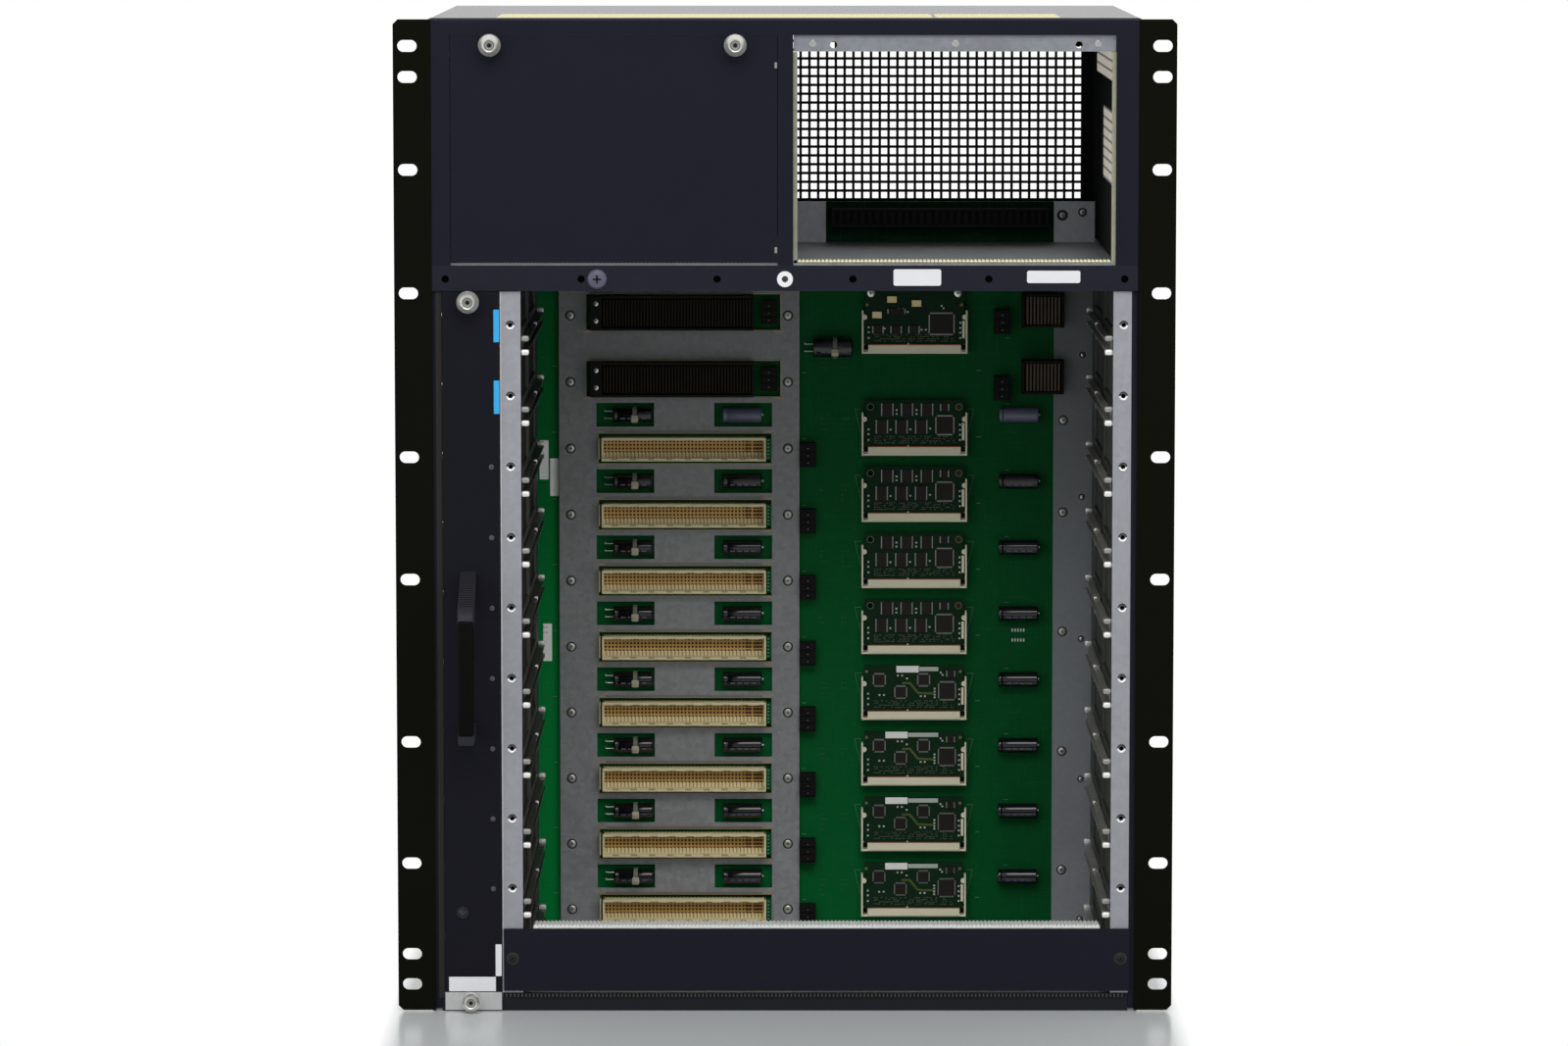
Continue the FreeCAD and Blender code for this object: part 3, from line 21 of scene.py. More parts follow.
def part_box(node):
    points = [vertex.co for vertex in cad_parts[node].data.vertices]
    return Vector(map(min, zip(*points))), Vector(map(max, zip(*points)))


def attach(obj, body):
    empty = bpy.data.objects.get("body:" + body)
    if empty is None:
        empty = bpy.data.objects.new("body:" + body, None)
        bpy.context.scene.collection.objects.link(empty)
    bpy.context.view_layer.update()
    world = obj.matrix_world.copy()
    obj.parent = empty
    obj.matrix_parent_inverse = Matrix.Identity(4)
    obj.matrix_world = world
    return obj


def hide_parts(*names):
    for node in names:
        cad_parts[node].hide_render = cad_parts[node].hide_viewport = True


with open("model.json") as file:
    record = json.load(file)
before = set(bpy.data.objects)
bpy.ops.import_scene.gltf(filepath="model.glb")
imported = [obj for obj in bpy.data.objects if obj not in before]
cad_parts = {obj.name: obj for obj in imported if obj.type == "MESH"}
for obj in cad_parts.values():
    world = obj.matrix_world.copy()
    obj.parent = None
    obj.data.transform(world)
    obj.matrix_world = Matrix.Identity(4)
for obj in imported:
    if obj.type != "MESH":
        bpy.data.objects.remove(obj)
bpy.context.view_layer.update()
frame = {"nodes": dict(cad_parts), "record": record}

LOG = logging.getLogger("chassis")
MM = 0.001
WHITE = (1.0, 1.0, 1.0, 1.0)
HEADER_DROP = 13.3  # from a slot's screw line down to its headers' middle
BEAD_PITCH = 2.4
BEAD_INSET = 1.5
Colour = tuple[float, float, float]
Pair = tuple[float, float]
Settings = dict[str, object]
Inputs = dict[int | str, object]


class Body(Enum):
    """The moving bodies that pieces ride on."""

    CHASSIS = "chassis"
    TRAY = "fan_tray"
    TRAY_KNOB_TOP = "tray_knob_top"
    TRAY_KNOB_BOTTOM = "tray_knob_bottom"
    COVER = "cover"
    COVER_KNOB_LEFT = "cover_knob_left"
    COVER_KNOB_RIGHT = "cover_knob_right"
    BLANK = "blank"


class Slot(Enum):
    """The record's material slots."""

    ZINC = "zinc_sheet"
    BRIGHT_ZINC = "bright_zinc"
    STIFFENER = "stiffener_steel"
    PAINT = "painted_steel"
    SCREW = "steel_screw"
    CONTACT = "contact_strip"
    BOARD = "board"
    BLACK = "black_plastic"
    CREAM = "cream_plastic"
    SLEEVE = "black_sleeve"


@dataclass(frozen=True)
class Box:
    """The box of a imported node."""

    x: Pair
    y: Pair
    z: Pair


@functools.cache
def cad(node: str) -> Box:
    """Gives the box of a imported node.

    Args:
        node: The node's name.

    Returns:
        Its box in millimetres.
    """
    low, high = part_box(node)
    return Box(*((low[axis] / MM, high[axis] / MM) for axis in range(3)))


@functools.cache
def slot_heights() -> tuple[float, ...]:
    """Gives the height of each slot's screw line, slot 1 first, from the record's mounts."""
    found = {}
    for mount in frame["record"]["mounts"]:
        words = mount["name"].split("_")
        if words[0] == "slot" and words[-1] == "screws":
            found[int(words[1])] = mount["pos_m"][2] / MM
    pitch = found[1] - found[2]
    last = max(found)
    found[last + 1] = found[last] - pitch
    return tuple(found[number] for number in sorted(found))


def slot_pitch() -> float:
    """Gives the height from one slot to the next."""
    return slot_heights()[0] - slot_heights()[1]


BOARD_FACE = cad("backplane_board").y[0]
PLATE_FACE = cad("backplane_stiffener").y[0]


def middle(pair: Pair) -> float:
    """Gives the middle of a pair of places."""
    return (pair[0] + pair[1]) / 2


def spread(first: float, last: float, count: int) -> list[float]:
    """Gives evenly spaced places from first to last."""
    return [first + (last - first) * number / (count - 1) for number in range(count)]


def beside(edge: float, side: int, near: float, far: float) -> Pair:
    """Gives the span from near to far off an edge, towards one side."""
    low, high = sorted((edge + side * near, edge + side * far))
    return low, high


# ---- shader maths


def operator(operation: str, turned: bool = False) -> Callable[["Value", "Value | float"], "Value"]:
    """Makes an arithmetic method that adds one Math node.

    Args:
        operation: The node's operation.
        turned: Whether the other number comes first.

    Returns:
        The method.
    """
    def apply(self: "Value", other: "Value | float") -> "Value":
        """Adds the node."""
        terms = (other, self) if turned else (self, other)
        return self.math(operation, *terms)
    return apply


class Value:
    """A number or colour in a node tree; arithmetic on values adds Math nodes."""

    def __init__(self, nodes: "Nodes", socket: bpy.types.NodeSocket) -> None:
        """Wraps an output socket."""
        self.nodes = nodes
        self.socket = socket

    def math(self, operation: str, *terms: "Value | float") -> "Value":
        """Adds a Math node over the terms."""
        return self.nodes.value("ShaderNodeMath", {"operation": operation}, dict(enumerate(terms)))

    __add__ = operator("ADD")
    __radd__ = operator("ADD", turned=True)
    __sub__ = operator("SUBTRACT")
    __rsub__ = operator("SUBTRACT", turned=True)
    __mul__ = operator("MULTIPLY")
    __truediv__ = operator("DIVIDE")
    __gt__ = operator("GREATER_THAN")
    __lt__ = operator("LESS_THAN")
    either = operator("MAXIMUM")

    def size(self) -> "Value":
        """Gives the number without its sign."""
        return self.math("ABSOLUTE", self)

    def fract(self) -> "Value":
        """Gives what is left after the whole number."""
        return self.math("FRACT", self)

    def inside(self, low: float, high: float) -> "Value":
        """Gives 1 between two numbers."""
        return (self > low) * (self < high)


class Nodes:
    """A node tree in the making; every node in it comes from the method node."""

    def __init__(self, tree: bpy.types.NodeTree) -> None:
        """Takes up a tree."""
        self.tree = tree

    def node(
        self, kind: str, settings: Settings | None = None, inputs: Inputs | None = None
    ) -> bpy.types.Node:
        """Adds one node.

        Args:
            kind: The node's type.
            settings: Properties that are set first, such as an operation.
            inputs: Numbers, colours or values for its sockets.

        Returns:
            The node.
        """
        made = self.tree.nodes.new(kind)
        for key, setting in (settings or {}).items():
            setattr(made, key, setting)
        for key, given in (inputs or {}).items():
            self.feed(made.inputs[key], given)
        return made

    def feed(self, socket: bpy.types.NodeSocket, given: object) -> None:
        """Links a value to a socket, or sets the socket to a plain number or colour."""
        if isinstance(given, Value):
            self.tree.links.new(given.socket, socket)
        else:
            socket.default_value = given

    def value(
        self, kind: str, settings: Settings | None = None, inputs: Inputs | None = None,
        output: int | str = 0,
    ) -> Value:
        """Adds one node and gives one of its outputs as a value."""
        return Value(self, self.node(kind, settings, inputs).outputs[output])

    def ramp(self, value: Value, low: float, high: float, start: float = 0.0, end: float = 1.0) -> Value:
        """Turns the way from low to high into the way from start to end, and stops at both."""
        limits = {1: low, 2: high, 3: start, 4: end}
        return self.value("ShaderNodeMapRange", {"clamp": True}, {0: value, **limits})

    def seen(self) -> Value:
        """Gives 1 where the camera looks straight at the surface."""
        return self.value("ShaderNodeLightPath", output="Is Camera Ray")


class Shader(Nodes):
    """A material in the making, around one Principled node."""

    def __init__(self, name: str) -> None:
        """Starts a material with an empty Principled surface."""
        self.material = bpy.data.materials.new(name)
        self.material.use_nodes = True
        super().__init__(self.material.node_tree)
        self.tree.nodes.clear()
        self.surface = self.node("ShaderNodeBsdfPrincipled")
        self.output = self.node("ShaderNodeOutputMaterial")
        self.tree.links.new(self.surface.outputs[0], self.output.inputs[0])

    def place(self, stretch: Sequence[float] = (1.0, 1.0, 1.0)) -> Value:
        """Gives the object's own coordinates in millimetres, stretched along each axis."""
        coordinates = self.value("ShaderNodeTexCoord", output="Object")
        scale = tuple(factor / MM for factor in stretch)
        return self.value("ShaderNodeMapping", inputs={"Vector": coordinates, "Scale": scale})

    def axes(self) -> tuple[Value, Value, Value]:
        """Gives the three object coordinates in millimetres."""
        parts = self.node("ShaderNodeSeparateXYZ", inputs={0: self.place()})
        return tuple(Value(self, parts.outputs[index]) for index in range(3))

    def noise(
        self, size: float, detail: float = 2.0, stretch: Sequence[float] = (1.0, 1.0, 1.0)
    ) -> Value:
        """Gives a soft noise whose patches are about one size across."""
        inputs = {"Vector": self.place(stretch), "Scale": 1.0 / size, "Detail": detail}
        return self.value("ShaderNodeTexNoise", inputs=inputs)

    def cells(self, size: float, output: str = "Color") -> Value:
        """Gives crystal-like cells about one size across."""
        inputs = {"Vector": self.place(), "Scale": 1.0 / size}
        return self.value("ShaderNodeTexVoronoi", inputs=inputs, output=output)

    def mix(self, share: Value, first: "Value | Colour", second: "Value | Colour") -> Value:
        """Blends two colours."""
        inputs = {"Factor": share}
        for socket, colour in ((6, first), (7, second)):
            inputs[socket] = colour if isinstance(colour, Value) else (*colour, 1.0)
        return self.value("ShaderNodeMix", {"data_type": "RGBA"}, inputs, output=2)

    def shade(self, colour: "Value | Colour", amount: Value) -> Value:
        """Darkens or lightens a colour by a factor near 1."""
        return self.value("ShaderNodeVectorMath", {"operation": "SCALE"}, {0: colour, "Scale": amount})

    def bump(self, height: Value, depth: float) -> Value:
        """Gives a normal that follows a height; depth is the relief in millimetres."""
        inputs = {"Height": height, "Strength": 1.0, "Distance": depth * MM}
        return self.value("ShaderNodeBump", inputs=inputs, output="Normal")

    def off_slot(self, height: Value, drop: float = 0.0) -> Value:
        """Gives how far a height lies above the nearest slot's line, or a line a drop below it."""
        pitch = slot_pitch()
        turns = (height - (slot_heights()[-1] - drop)) / pitch + 0.5
        return turns.fract() * pitch - pitch / 2

    def set(self, **sockets: object) -> None:
        """Sets sockets of the surface, named with underscores for spaces."""
        for key, given in sockets.items():
            colour = (*given, 1.0) if isinstance(given, tuple) else given
            self.feed(self.surface.inputs[key.replace("_", " ")], colour)


# ---- finishes


@dataclass(frozen=True)
class Finish:
    """A plain finish whose colour, gloss and surface vary a little."""

    name: str
    colour: Colour
    roughness: float = 0.5
    metallic: float = 0.0
    specular: float = 0.5
    grain: float = 1.5
    relief: float = 0.01
    drift: float = 0.12
    coat: float = 0.0

    def build(self) -> bpy.types.Material:
        """Makes the material."""
        shader = Shader(self.name)
        self.paint(shader)
        return shader.material

    def tint(self, shader: Shader) -> Value:
        """Gives the colour over the surface."""
        patches = shader.noise(self.grain * 18, 3.0)
        return shader.shade(self.colour, 1 - self.drift / 2 + patches * self.drift)

    def paint(self, shader: Shader) -> None:
        """Links the finish to the surface."""
        fine = shader.noise(self.grain, 2.0)
        shader.set(
            Base_Color=self.tint(shader),
            Roughness=self.roughness - 0.06 + fine * 0.12,
            Metallic=self.metallic,
            Specular_IOR_Level=self.specular,
            Coat_Weight=self.coat,
            Normal=shader.bump(fine, self.relief),
        )


@dataclass(frozen=True)
class CoverPaint(Finish):
    """Satin paint with two plain strips of film across the top near the front."""

    strips: tuple[Pair, ...] = ()
    depth: Pair = (0.0, 1.0)
    film: Colour = (0.6, 0.56, 0.06)

    def tint(self, shader: Shader) -> Value:
        """Gives paint with the film's colour over the strips."""
        x, y, z = shader.axes()
        colour = super().tint(shader)
        for low, high in self.strips:
            mask = x.inside(low, high) * y.inside(*self.depth) * (z > cad("top_cover").z[1] - 0.5)
            colour = shader.mix(mask, colour, self.film)
        return colour


@dataclass(frozen=True)
class LippedPaint(Finish):
    """Bare zinc inside and paint on what faces the front."""

    zinc: Colour = (0.4, 0.41, 0.43)

    def paint(self, shader: Shader) -> None:
        """Links paint at the front lip and zinc behind it."""
        behind = shader.axes()[1] > cad("front_frame").y[0] + 3.4
        fine = shader.noise(self.grain, 2.0)
        shader.set(
            Base_Color=shader.mix(behind, self.tint(shader), self.zinc),
            Roughness=self.roughness - 0.06 + fine * 0.12,
            Metallic=behind * 0.8,
            Specular_IOR_Level=self.specular,
            Normal=shader.bump(fine, self.relief),
        )


@dataclass(frozen=True)
class Zinc(Finish):
    """Zinc-plated sheet with faint crystals and rolling marks."""

    metallic: float = 0.85
    crystal: float = 3.2
    contrast: float = 0.16

    def tint(self, shader: Shader) -> "Value | Colour":
        """Gives the plating's colour."""
        return self.colour

    def paint(self, shader: Shader) -> None:
        """Links crystals, rolling marks and cloudy gloss."""
        crystals = shader.value("ShaderNodeSeparateXYZ", inputs={0: shader.cells(self.crystal)})
        clouds = shader.noise(38.0, 4.0)
        rolled = shader.noise(1.0, 2.0, (1.6, 1.6, 0.05))
        level = 1 - self.contrast + crystals * self.contrast * 0.9 + clouds * self.contrast
        shader.set(
            Base_Color=shader.shade(self.tint(shader), level),
            Roughness=self.roughness - 0.12 + clouds * 0.16 + crystals * 0.08,
            Metallic=self.metallic,
            Specular_IOR_Level=self.specular,
            Normal=shader.bump(rolled + crystals * 0.4, self.relief),
        )


@dataclass(frozen=True)
class CageZinc(Zinc):
    """Bright flanges in front with a painted highlight on the left flange's outer edge, walls behind them
    darkened as painted shade, and a grey strip beside the board that darkens towards the top as painted
    shade.
    """

    # The walls behind the flanges: the same zinc, darkened as painted shade.
    wall: Colour = (0.08, 0.08, 0.078)
    strip: Colour = (0.34, 0.36, 0.38)
    # The strip's colour at the top, darker as painted shade.
    strip_painted_shade_top: Colour = (0.09, 0.1, 0.1)
    # A painted highlight along the left flange's outer edge.
    edge: Colour = (0.6, 0.6, 0.62)

    def tint(self, shader: Shader) -> Value:
        """Gives each depth its colour: painted shade on the walls and towards the strip's top, and a painted
        highlight on the left flange's edge.
        """
        across, depth, height = shader.axes()
        left = cad("cage_wall_left")
        strip = shader.mix(shader.ramp(height, *left.z), self.strip, self.strip_painted_shade_top)
        face = shader.mix(across < left.x[0] + 0.9, self.colour, self.edge)
        colour = shader.mix(depth > left.y[0] + 2.0, face, self.wall)
        return shader.mix(depth > BOARD_FACE - 3.0, colour, strip)


@dataclass(frozen=True)
class StiffenerZinc(Zinc):
    """Mottled plating with painted light that makes it a little lighter low down."""

    # The lighter colour low down, painted light.
    low: Colour = (0.33, 0.335, 0.34)

    def tint(self, shader: Shader) -> Value:
        """Gives each height its colour, lighter low down as painted light."""
        rise = shader.ramp(shader.axes()[2], *cad("backplane_stiffener").z)
        return shader.mix(rise, self.low, self.colour)


@dataclass(frozen=True)
class SplitZinc(Zinc):
    """Plating that changes colour at a place along one axis."""

    beyond: Colour = (0.05, 0.05, 0.05)
    axis: int = 0
    at: float = 0.0

    def tint(self, shader: Shader) -> Value:
        """Gives each side of the place its colour."""
        return shader.mix(shader.axes()[self.axis] > self.at, self.colour, self.beyond)


@dataclass(frozen=True)
class DimpleZinc(Finish):
    """The dimple of a tapped hole: painted shade above its axis and a painted highlight below it."""

    # The colour above each hole's axis, painted shade; the finish's own colour below is a painted highlight.
    painted_shade: Colour = (0.02, 0.02, 0.02)

    def tint(self, shader: Shader) -> Value:
        """Gives every dimple painted shade above its axis and a painted highlight below it."""
        return shader.mix(shader.off_slot(shader.axes()[2]) > -0.1, self.colour, self.painted_shade)


@dataclass(frozen=True)
class PaintedVentGlow(Finish):
    """Self-lit sheet behind the windows of a bay wall, with dark slats; its glow is painted light in place of
    the light that comes through the vents.
    """

    slat: Colour = (0.12, 0.12, 0.14)
    pitch: float = 6.4
    glow: float = 0.55

    def paint(self, shader: Shader) -> None:
        """Links slats across and along."""
        _, y, z = shader.axes()
        bars = (z / self.pitch).fract() < 0.24
        posts = (y / (self.pitch * 4)).fract() < 0.12
        colour = shader.mix(bars.either(posts), self.tint(shader), self.slat)
        # The glow is painted light; the sheet is no lamp.
        shader.set(
            Base_Color=colour, Roughness=self.roughness,
            Emission_Color=colour, Emission_Strength=self.glow,
        )


@dataclass(frozen=True)
class SolderMask(Finish):
    """Circuit board lacquer with faint copper runs under it and small pads."""

    runs: Colour = (0.02, 0.2, 0.07)
    pads: Colour = (0.25, 0.3, 0.2)

    def paint(self, shader: Shader) -> None:
        """Links lacquer, copper runs and pads."""
        across = shader.noise(9.0, 3.0, (0.06, 1.0, 1.0))
        upright = shader.noise(9.0, 3.0, (1.0, 1.0, 0.06))
        lines = (across * 12.0).fract().inside(0.42, 0.58) + (upright * 12.0).fract().inside(0.42, 0.58)
        dots = shader.cells(5.5, "Distance") < 0.035
        colour = shader.mix(lines * 0.07, self.tint(shader), self.runs)
        shader.set(
            Base_Color=shader.mix(dots * 0.5, colour, self.pads),
            Roughness=self.roughness,
            Specular_IOR_Level=self.specular,
            Coat_Weight=self.coat,
            Normal=shader.bump(lines, self.relief),
        )


@dataclass(frozen=True)
class BackplaneMask(SolderMask):
    """The backplane's lacquer, with painted light that makes it lighter towards its lower left."""

    # The lighter lacquer colour, painted light.
    light: Colour = (0.001, 0.23, 0.046)

    def tint(self, shader: Shader) -> Value:
        """Gives the lacquer painted light that grows towards the bottom and the left and is strongest at the
        far left.
        """
        x, _, z = shader.axes()
        left = shader.ramp(x, -145.0, -150.0)
        low = shader.ramp(z, 470.0, 10.0, 0.15, 1.05)
        right = shader.ramp(x, 0.0, 180.0, 0.34, 0.06)
        share = left * low.either(0.2) + right * low
        return shader.mix(share, super().tint(shader), self.light)


@dataclass(frozen=True)
class PinField(Finish):
    """Tan floor of a header with rows of dark pins over its upper part."""

    pitch: float = 2.4
    pin: Colour = (0.07, 0.022, 0.007)
    bare: Colour = (0.78, 0.68, 0.42)
    gap: Colour = (0.22, 0.14, 0.05)
    bare_below: float = -2.6
    power: tuple[Pair, ...] = ()

    def paint(self, shader: Shader) -> None:
        """Links the pin grid, which repeats at every slot, and the darker power pins."""
        x, _, z = shader.axes()
        up = shader.off_slot(z, HEADER_DROP)
        column = (x / self.pitch).fract() - 0.5
        row = (up / self.pitch + 100.5).fract() - 0.5
        round_pins = (column * column + row * row) < 0.1
        upper = up > self.bare_below
        mask = round_pins * upper
        for low, high in self.power:
            bar = x.inside(low, high) * upper * (row.size() < 0.36) * 0.8
            mask = mask.either(bar)
        comb = shader.mix(((x / self.pitch + 0.5).fract() < 0.3) * 0.75, self.bare, self.gap)
        lower = shader.shade(comb, 0.9 + shader.noise(8.0) * 0.2)
        floor = shader.mix(upper, lower, self.tint(shader))
        shader.set(
            Base_Color=shader.mix(mask, floor, self.pin),
            Roughness=self.roughness,
            Specular_IOR_Level=self.specular,
            Normal=shader.bump(mask, self.relief),
        )


@dataclass(frozen=True)
class Legs(Finish):
    """Silver chip legs with dark gaps between them."""

    pitch: float = 0.65
    gap: Colour = (0.02, 0.03, 0.02)
    upright: bool = True

    def paint(self, shader: Shader) -> None:
        """Links stripes of metal and board."""
        x, _, z = shader.axes()
        along = z if self.upright else x
        metal = (along / self.pitch).fract() > 0.42
        shader.set(
            Base_Color=shader.mix(metal, self.gap, self.colour),
            Roughness=self.roughness,
            Metallic=metal * self.metallic,
            Normal=shader.bump(metal, self.relief),
        )


@functools.cache
def material(finish: Finish) -> bpy.types.Material:
    """Makes a finish's material once."""
    return finish.build()


NAVY = Finish("navy_satin_paint", (0.0092, 0.0098, 0.017), 0.46, specular=0.09, grain=0.9)
CROSSBAR_NAVY = Finish("crossbar_satin_paint", (0.0128, 0.0138, 0.0215), 0.46, specular=0.1, grain=0.9)
TRAY_NAVY = Finish("tray_satin_paint", (0.0075, 0.0075, 0.012), 0.5, specular=0.07, grain=0.9)
EAR_BLACK = Finish("ear_black_paint", (0.0042, 0.0045, 0.0024), 0.42, specular=0.03, grain=0.8, relief=0.008)
LIP_PAINT = LippedPaint("pan_paint", (0.011, 0.0115, 0.016), 0.48, specular=0.12, grain=0.9, relief=0.01)
VIOLET_PAINT = Finish("screw_violet_paint", (0.09, 0.088, 0.13), 0.4, specular=0.3, grain=0.7)
FLANGE_ZINC = CageZinc("flange_zinc", (0.36, 0.36, 0.395), 0.48, metallic=0.6, contrast=0.1, relief=0.006)
BAY_STRIP_ZINC = Zinc("bay_strip_zinc", (0.25, 0.265, 0.29), 0.48, metallic=0.6, contrast=0.14, relief=0.006)
SHEET_ZINC = Zinc("sheet_zinc", (0.34, 0.35, 0.37), 0.46, relief=0.01)
STIFFENER_ZINC = StiffenerZinc(
    "stiffener_zinc", (0.185, 0.19, 0.192), 0.52, metallic=0.55, contrast=0.24, relief=0.012,
)
HEM = {"axis": 1, "at": cad("bay_wall_right").y[0] + 2.2}
# The bay walls keep a bright hem at the front and are near black behind it: painted shade on plated sheet.
BAY_WALL_SHADE_ZINC = SplitZinc(
    "bay_wall_zinc", (0.3, 0.3, 0.22), 0.85, specular=0.0, metallic=0.0,
    beyond=(0.028, 0.03, 0.031), **HEM,
)
DIVIDER_ZINC = SplitZinc(
    "divider_zinc", (0.3, 0.3, 0.22), 0.48, metallic=0.6, beyond=(0.22, 0.225, 0.23), **HEM,
)
# Guides left of the middle are dark as painted shade; those to the right keep the lighter zinc.
GUIDE_ZINC_LEFT_SHADE = SplitZinc(
    "guide_zinc_left_shade", (0.072, 0.07, 0.066), 0.36, metallic=0.5, contrast=0.3, beyond=(0.36, 0.35, 0.33),
)
# A painted highlight for the guides' raised tabs, stops and lower lips.
GUIDE_PAINTED_HIGHLIGHT = Finish("guide_painted_highlight", (0.8, 0.8, 0.76), 0.34, metallic=0.35, grain=0.8)
GUIDE_SOFT = Finish("guide_soft", (0.3, 0.3, 0.28), 0.4, metallic=0.35, grain=0.8)
SHIELD = Finish("header_shield", (0.2, 0.195, 0.18), 0.4, metallic=0.4)
RIM = Finish("cut_edge", (0.36, 0.3, 0.2), 0.5, metallic=0.2)
STEEL = Finish("screw_steel", (0.66, 0.65, 0.63), 0.3, metallic=0.95, grain=0.5, relief=0.006)
PLATE_SCREW = Finish("plate_screw_steel", (0.46, 0.46, 0.42), 0.38, metallic=0.7, grain=0.5, relief=0.006)
KNOB_STEEL = Finish("knob_steel", (0.78, 0.77, 0.73), 0.3, metallic=0.85, grain=0.6, relief=0.008)
# Darker knob steel for the recessed ring and centre of the knob's face: painted shade.
KNOB_RECESS_SHADE = Finish("knob_dark", (0.2, 0.2, 0.18), 0.4, metallic=0.6)
# Near black for the recesses of screws, knobs and handle grooves: painted shade, drawn as thin dark marks
# instead of cuts.
RECESS_PAINTED_SHADE = Finish("screw_recess", (0.008, 0.008, 0.008), 0.6, specular=0.1)
DEEP_SHADOW_FILL = Finish("deep_shadow", (0.0016, 0.0016, 0.0016), 0.8, specular=0.0)
POST = Finish("post_paint", (0.022, 0.021, 0.02), 0.5, specular=0.1)
DARK_RING = Finish("screw_ring", (0.035, 0.036, 0.038), 0.6, specular=0.1)
CONTACT = Finish("contact_gold", (0.95, 0.92, 0.62), 0.3, metallic=0.25, grain=0.5)
CONTACT_BASE = Finish("contact_base", (0.3, 0.28, 0.18), 0.45, metallic=0.2)
PALE_CONTACT = Finish("contact_pale", (0.85, 0.86, 0.84), 0.32, metallic=0.25, grain=0.5)
BOARD = BackplaneMask("backplane_board", (0.002, 0.066, 0.0165), 0.5, specular=0.05, relief=0.006)
BAY_BOARD = SolderMask("bay_board", (0.001, 0.022, 0.008), 0.5, specular=0.05, relief=0.006)
MODULE_BOARD = SolderMask(
    "module_board", (0.006, 0.028, 0.011), 0.5, specular=0.08, runs=(0.02, 0.06, 0.02), relief=0.006,
)
CREAM = Finish("cream_moulding", (0.8, 0.72, 0.44), 0.5, specular=0.3, grain=0.8)
SOCKET_CREAM = Finish("socket_cream", (0.85, 0.8, 0.6), 0.5, specular=0.3, grain=0.8)
BLACK = Finish("black_moulding", (0.007, 0.007, 0.007), 0.5, specular=0.12, grain=0.8)
CHIP = Finish("chip_black", (0.02, 0.016, 0.015), 0.5, specular=0.15, grain=0.5, relief=0.006)
OLIVE = Finish("olive_rib", (0.03, 0.025, 0.014), 0.55, specular=0.1, grain=0.7)
BROWN_RIB = Finish("brown_rib", (0.1, 0.07, 0.05), 0.5, specular=0.2, grain=0.7)
# Near black for the insides of slots, holes and pole sockets and the floors between ribs: painted shade.
RECESS_SHADOW = Finish("rib_shadow", (0.003, 0.0028, 0.002), 0.6, specular=0.05)
SLEEVE = Finish("capacitor_sleeve", (0.004, 0.0038, 0.006), 0.13, coat=0.25, grain=3.0, relief=0.003)
BLUE_SLEEVE = Finish("capacitor_blue_sleeve", (0.09, 0.095, 0.15), 0.3, coat=0.3, grain=1.2)
SLEEVE_PRINT = Finish("sleeve_print", (0.07, 0.075, 0.13), 0.34, coat=0.3)
NYLON = Finish("tie_nylon", (0.5, 0.47, 0.34), 0.45, grain=0.6)
WHITE_LABEL = Finish("blank_label", (0.7, 0.7, 0.73), 0.5, specular=0.2, grain=1.0, relief=0.004)
BOARD_LABEL = Finish("blank_board_label", (0.95, 0.95, 0.9), 0.5, specular=0.2, grain=1.0, relief=0.004)
SILK = Finish("printed_line", (0.1, 0.2, 0.12), 0.6, relief=0.002)
COPPER = Finish("copper_pad", (0.35, 0.1, 0.03), 0.4, metallic=0.6, relief=0.004)
HOLE_BROWN = Finish("hole_brown", (0.06, 0.02, 0.01), 0.5, specular=0.1)
SOLDER = Finish("solder_pad", (0.6, 0.6, 0.56), 0.35, metallic=0.5)
PAD_DULL = Finish("test_pad", (0.05, 0.1, 0.045), 0.5, specular=0.2, relief=0.002)
DULL_SOLDER = Finish("dull_solder", (0.26, 0.28, 0.22), 0.45, metallic=0.3, relief=0.004)
CRYSTAL_CAN = Finish("crystal_can", (0.55, 0.46, 0.24), 0.3, metallic=0.8, relief=0.004)
TRACE = Finish("broad_trace", (0.08, 0.1, 0.01), 0.4, relief=0.004)
SIDE_LEGS = Legs("side_legs", (0.4, 0.4, 0.39), 0.35, metallic=0.6)
END_LEGS = Legs("end_legs", (0.32, 0.32, 0.31), 0.35, metallic=0.6, upright=False)
BLUE_TAB = Finish("blue_tab", (0.035, 0.36, 0.72), 0.4, specular=0.3)
# The handle is one black moulding; its sloping feet get this lighter grey as painted light.
HANDLE_FEET_LIT_GREY = Finish("handle_feet_lit_grey", (0.021, 0.0205, 0.028), 0.42, specular=0.12, grain=0.8, relief=0.02)
HANDLE_BLACK = Finish("handle_black", (0.0028, 0.0028, 0.003), 0.45, specular=0.05, grain=0.8, relief=0.02)
# A glowing sheet, painted light for the light through the right bay's vents.
PAINTED_VENT_GLOW = PaintedVentGlow("vent_light", (0.62, 0.56, 0.46), 0.6)
# Liner sheets are zinc darkened as painted shade, the left one darker than the right.
LEFT_LINER_SHADE = Zinc("left_liner_zinc", (0.02, 0.02, 0.018), 0.6, specular=0.1, metallic=0.1)
RIGHT_LINER_SHADE = Zinc("right_liner_zinc", (0.09, 0.09, 0.092), 0.55, specular=0.15, metallic=0.2)
JACK_STEEL = Finish("jack_steel", (0.9, 0.9, 0.9), 0.3, metallic=0.3, grain=0.6)
EDGE_GREEN = Finish("header_edge_green", (0.003, 0.1, 0.035), 0.5, specular=0.05)
NYLON_STRAP = Finish("tie_strap", (0.17, 0.18, 0.14), 0.5, specular=0.2)
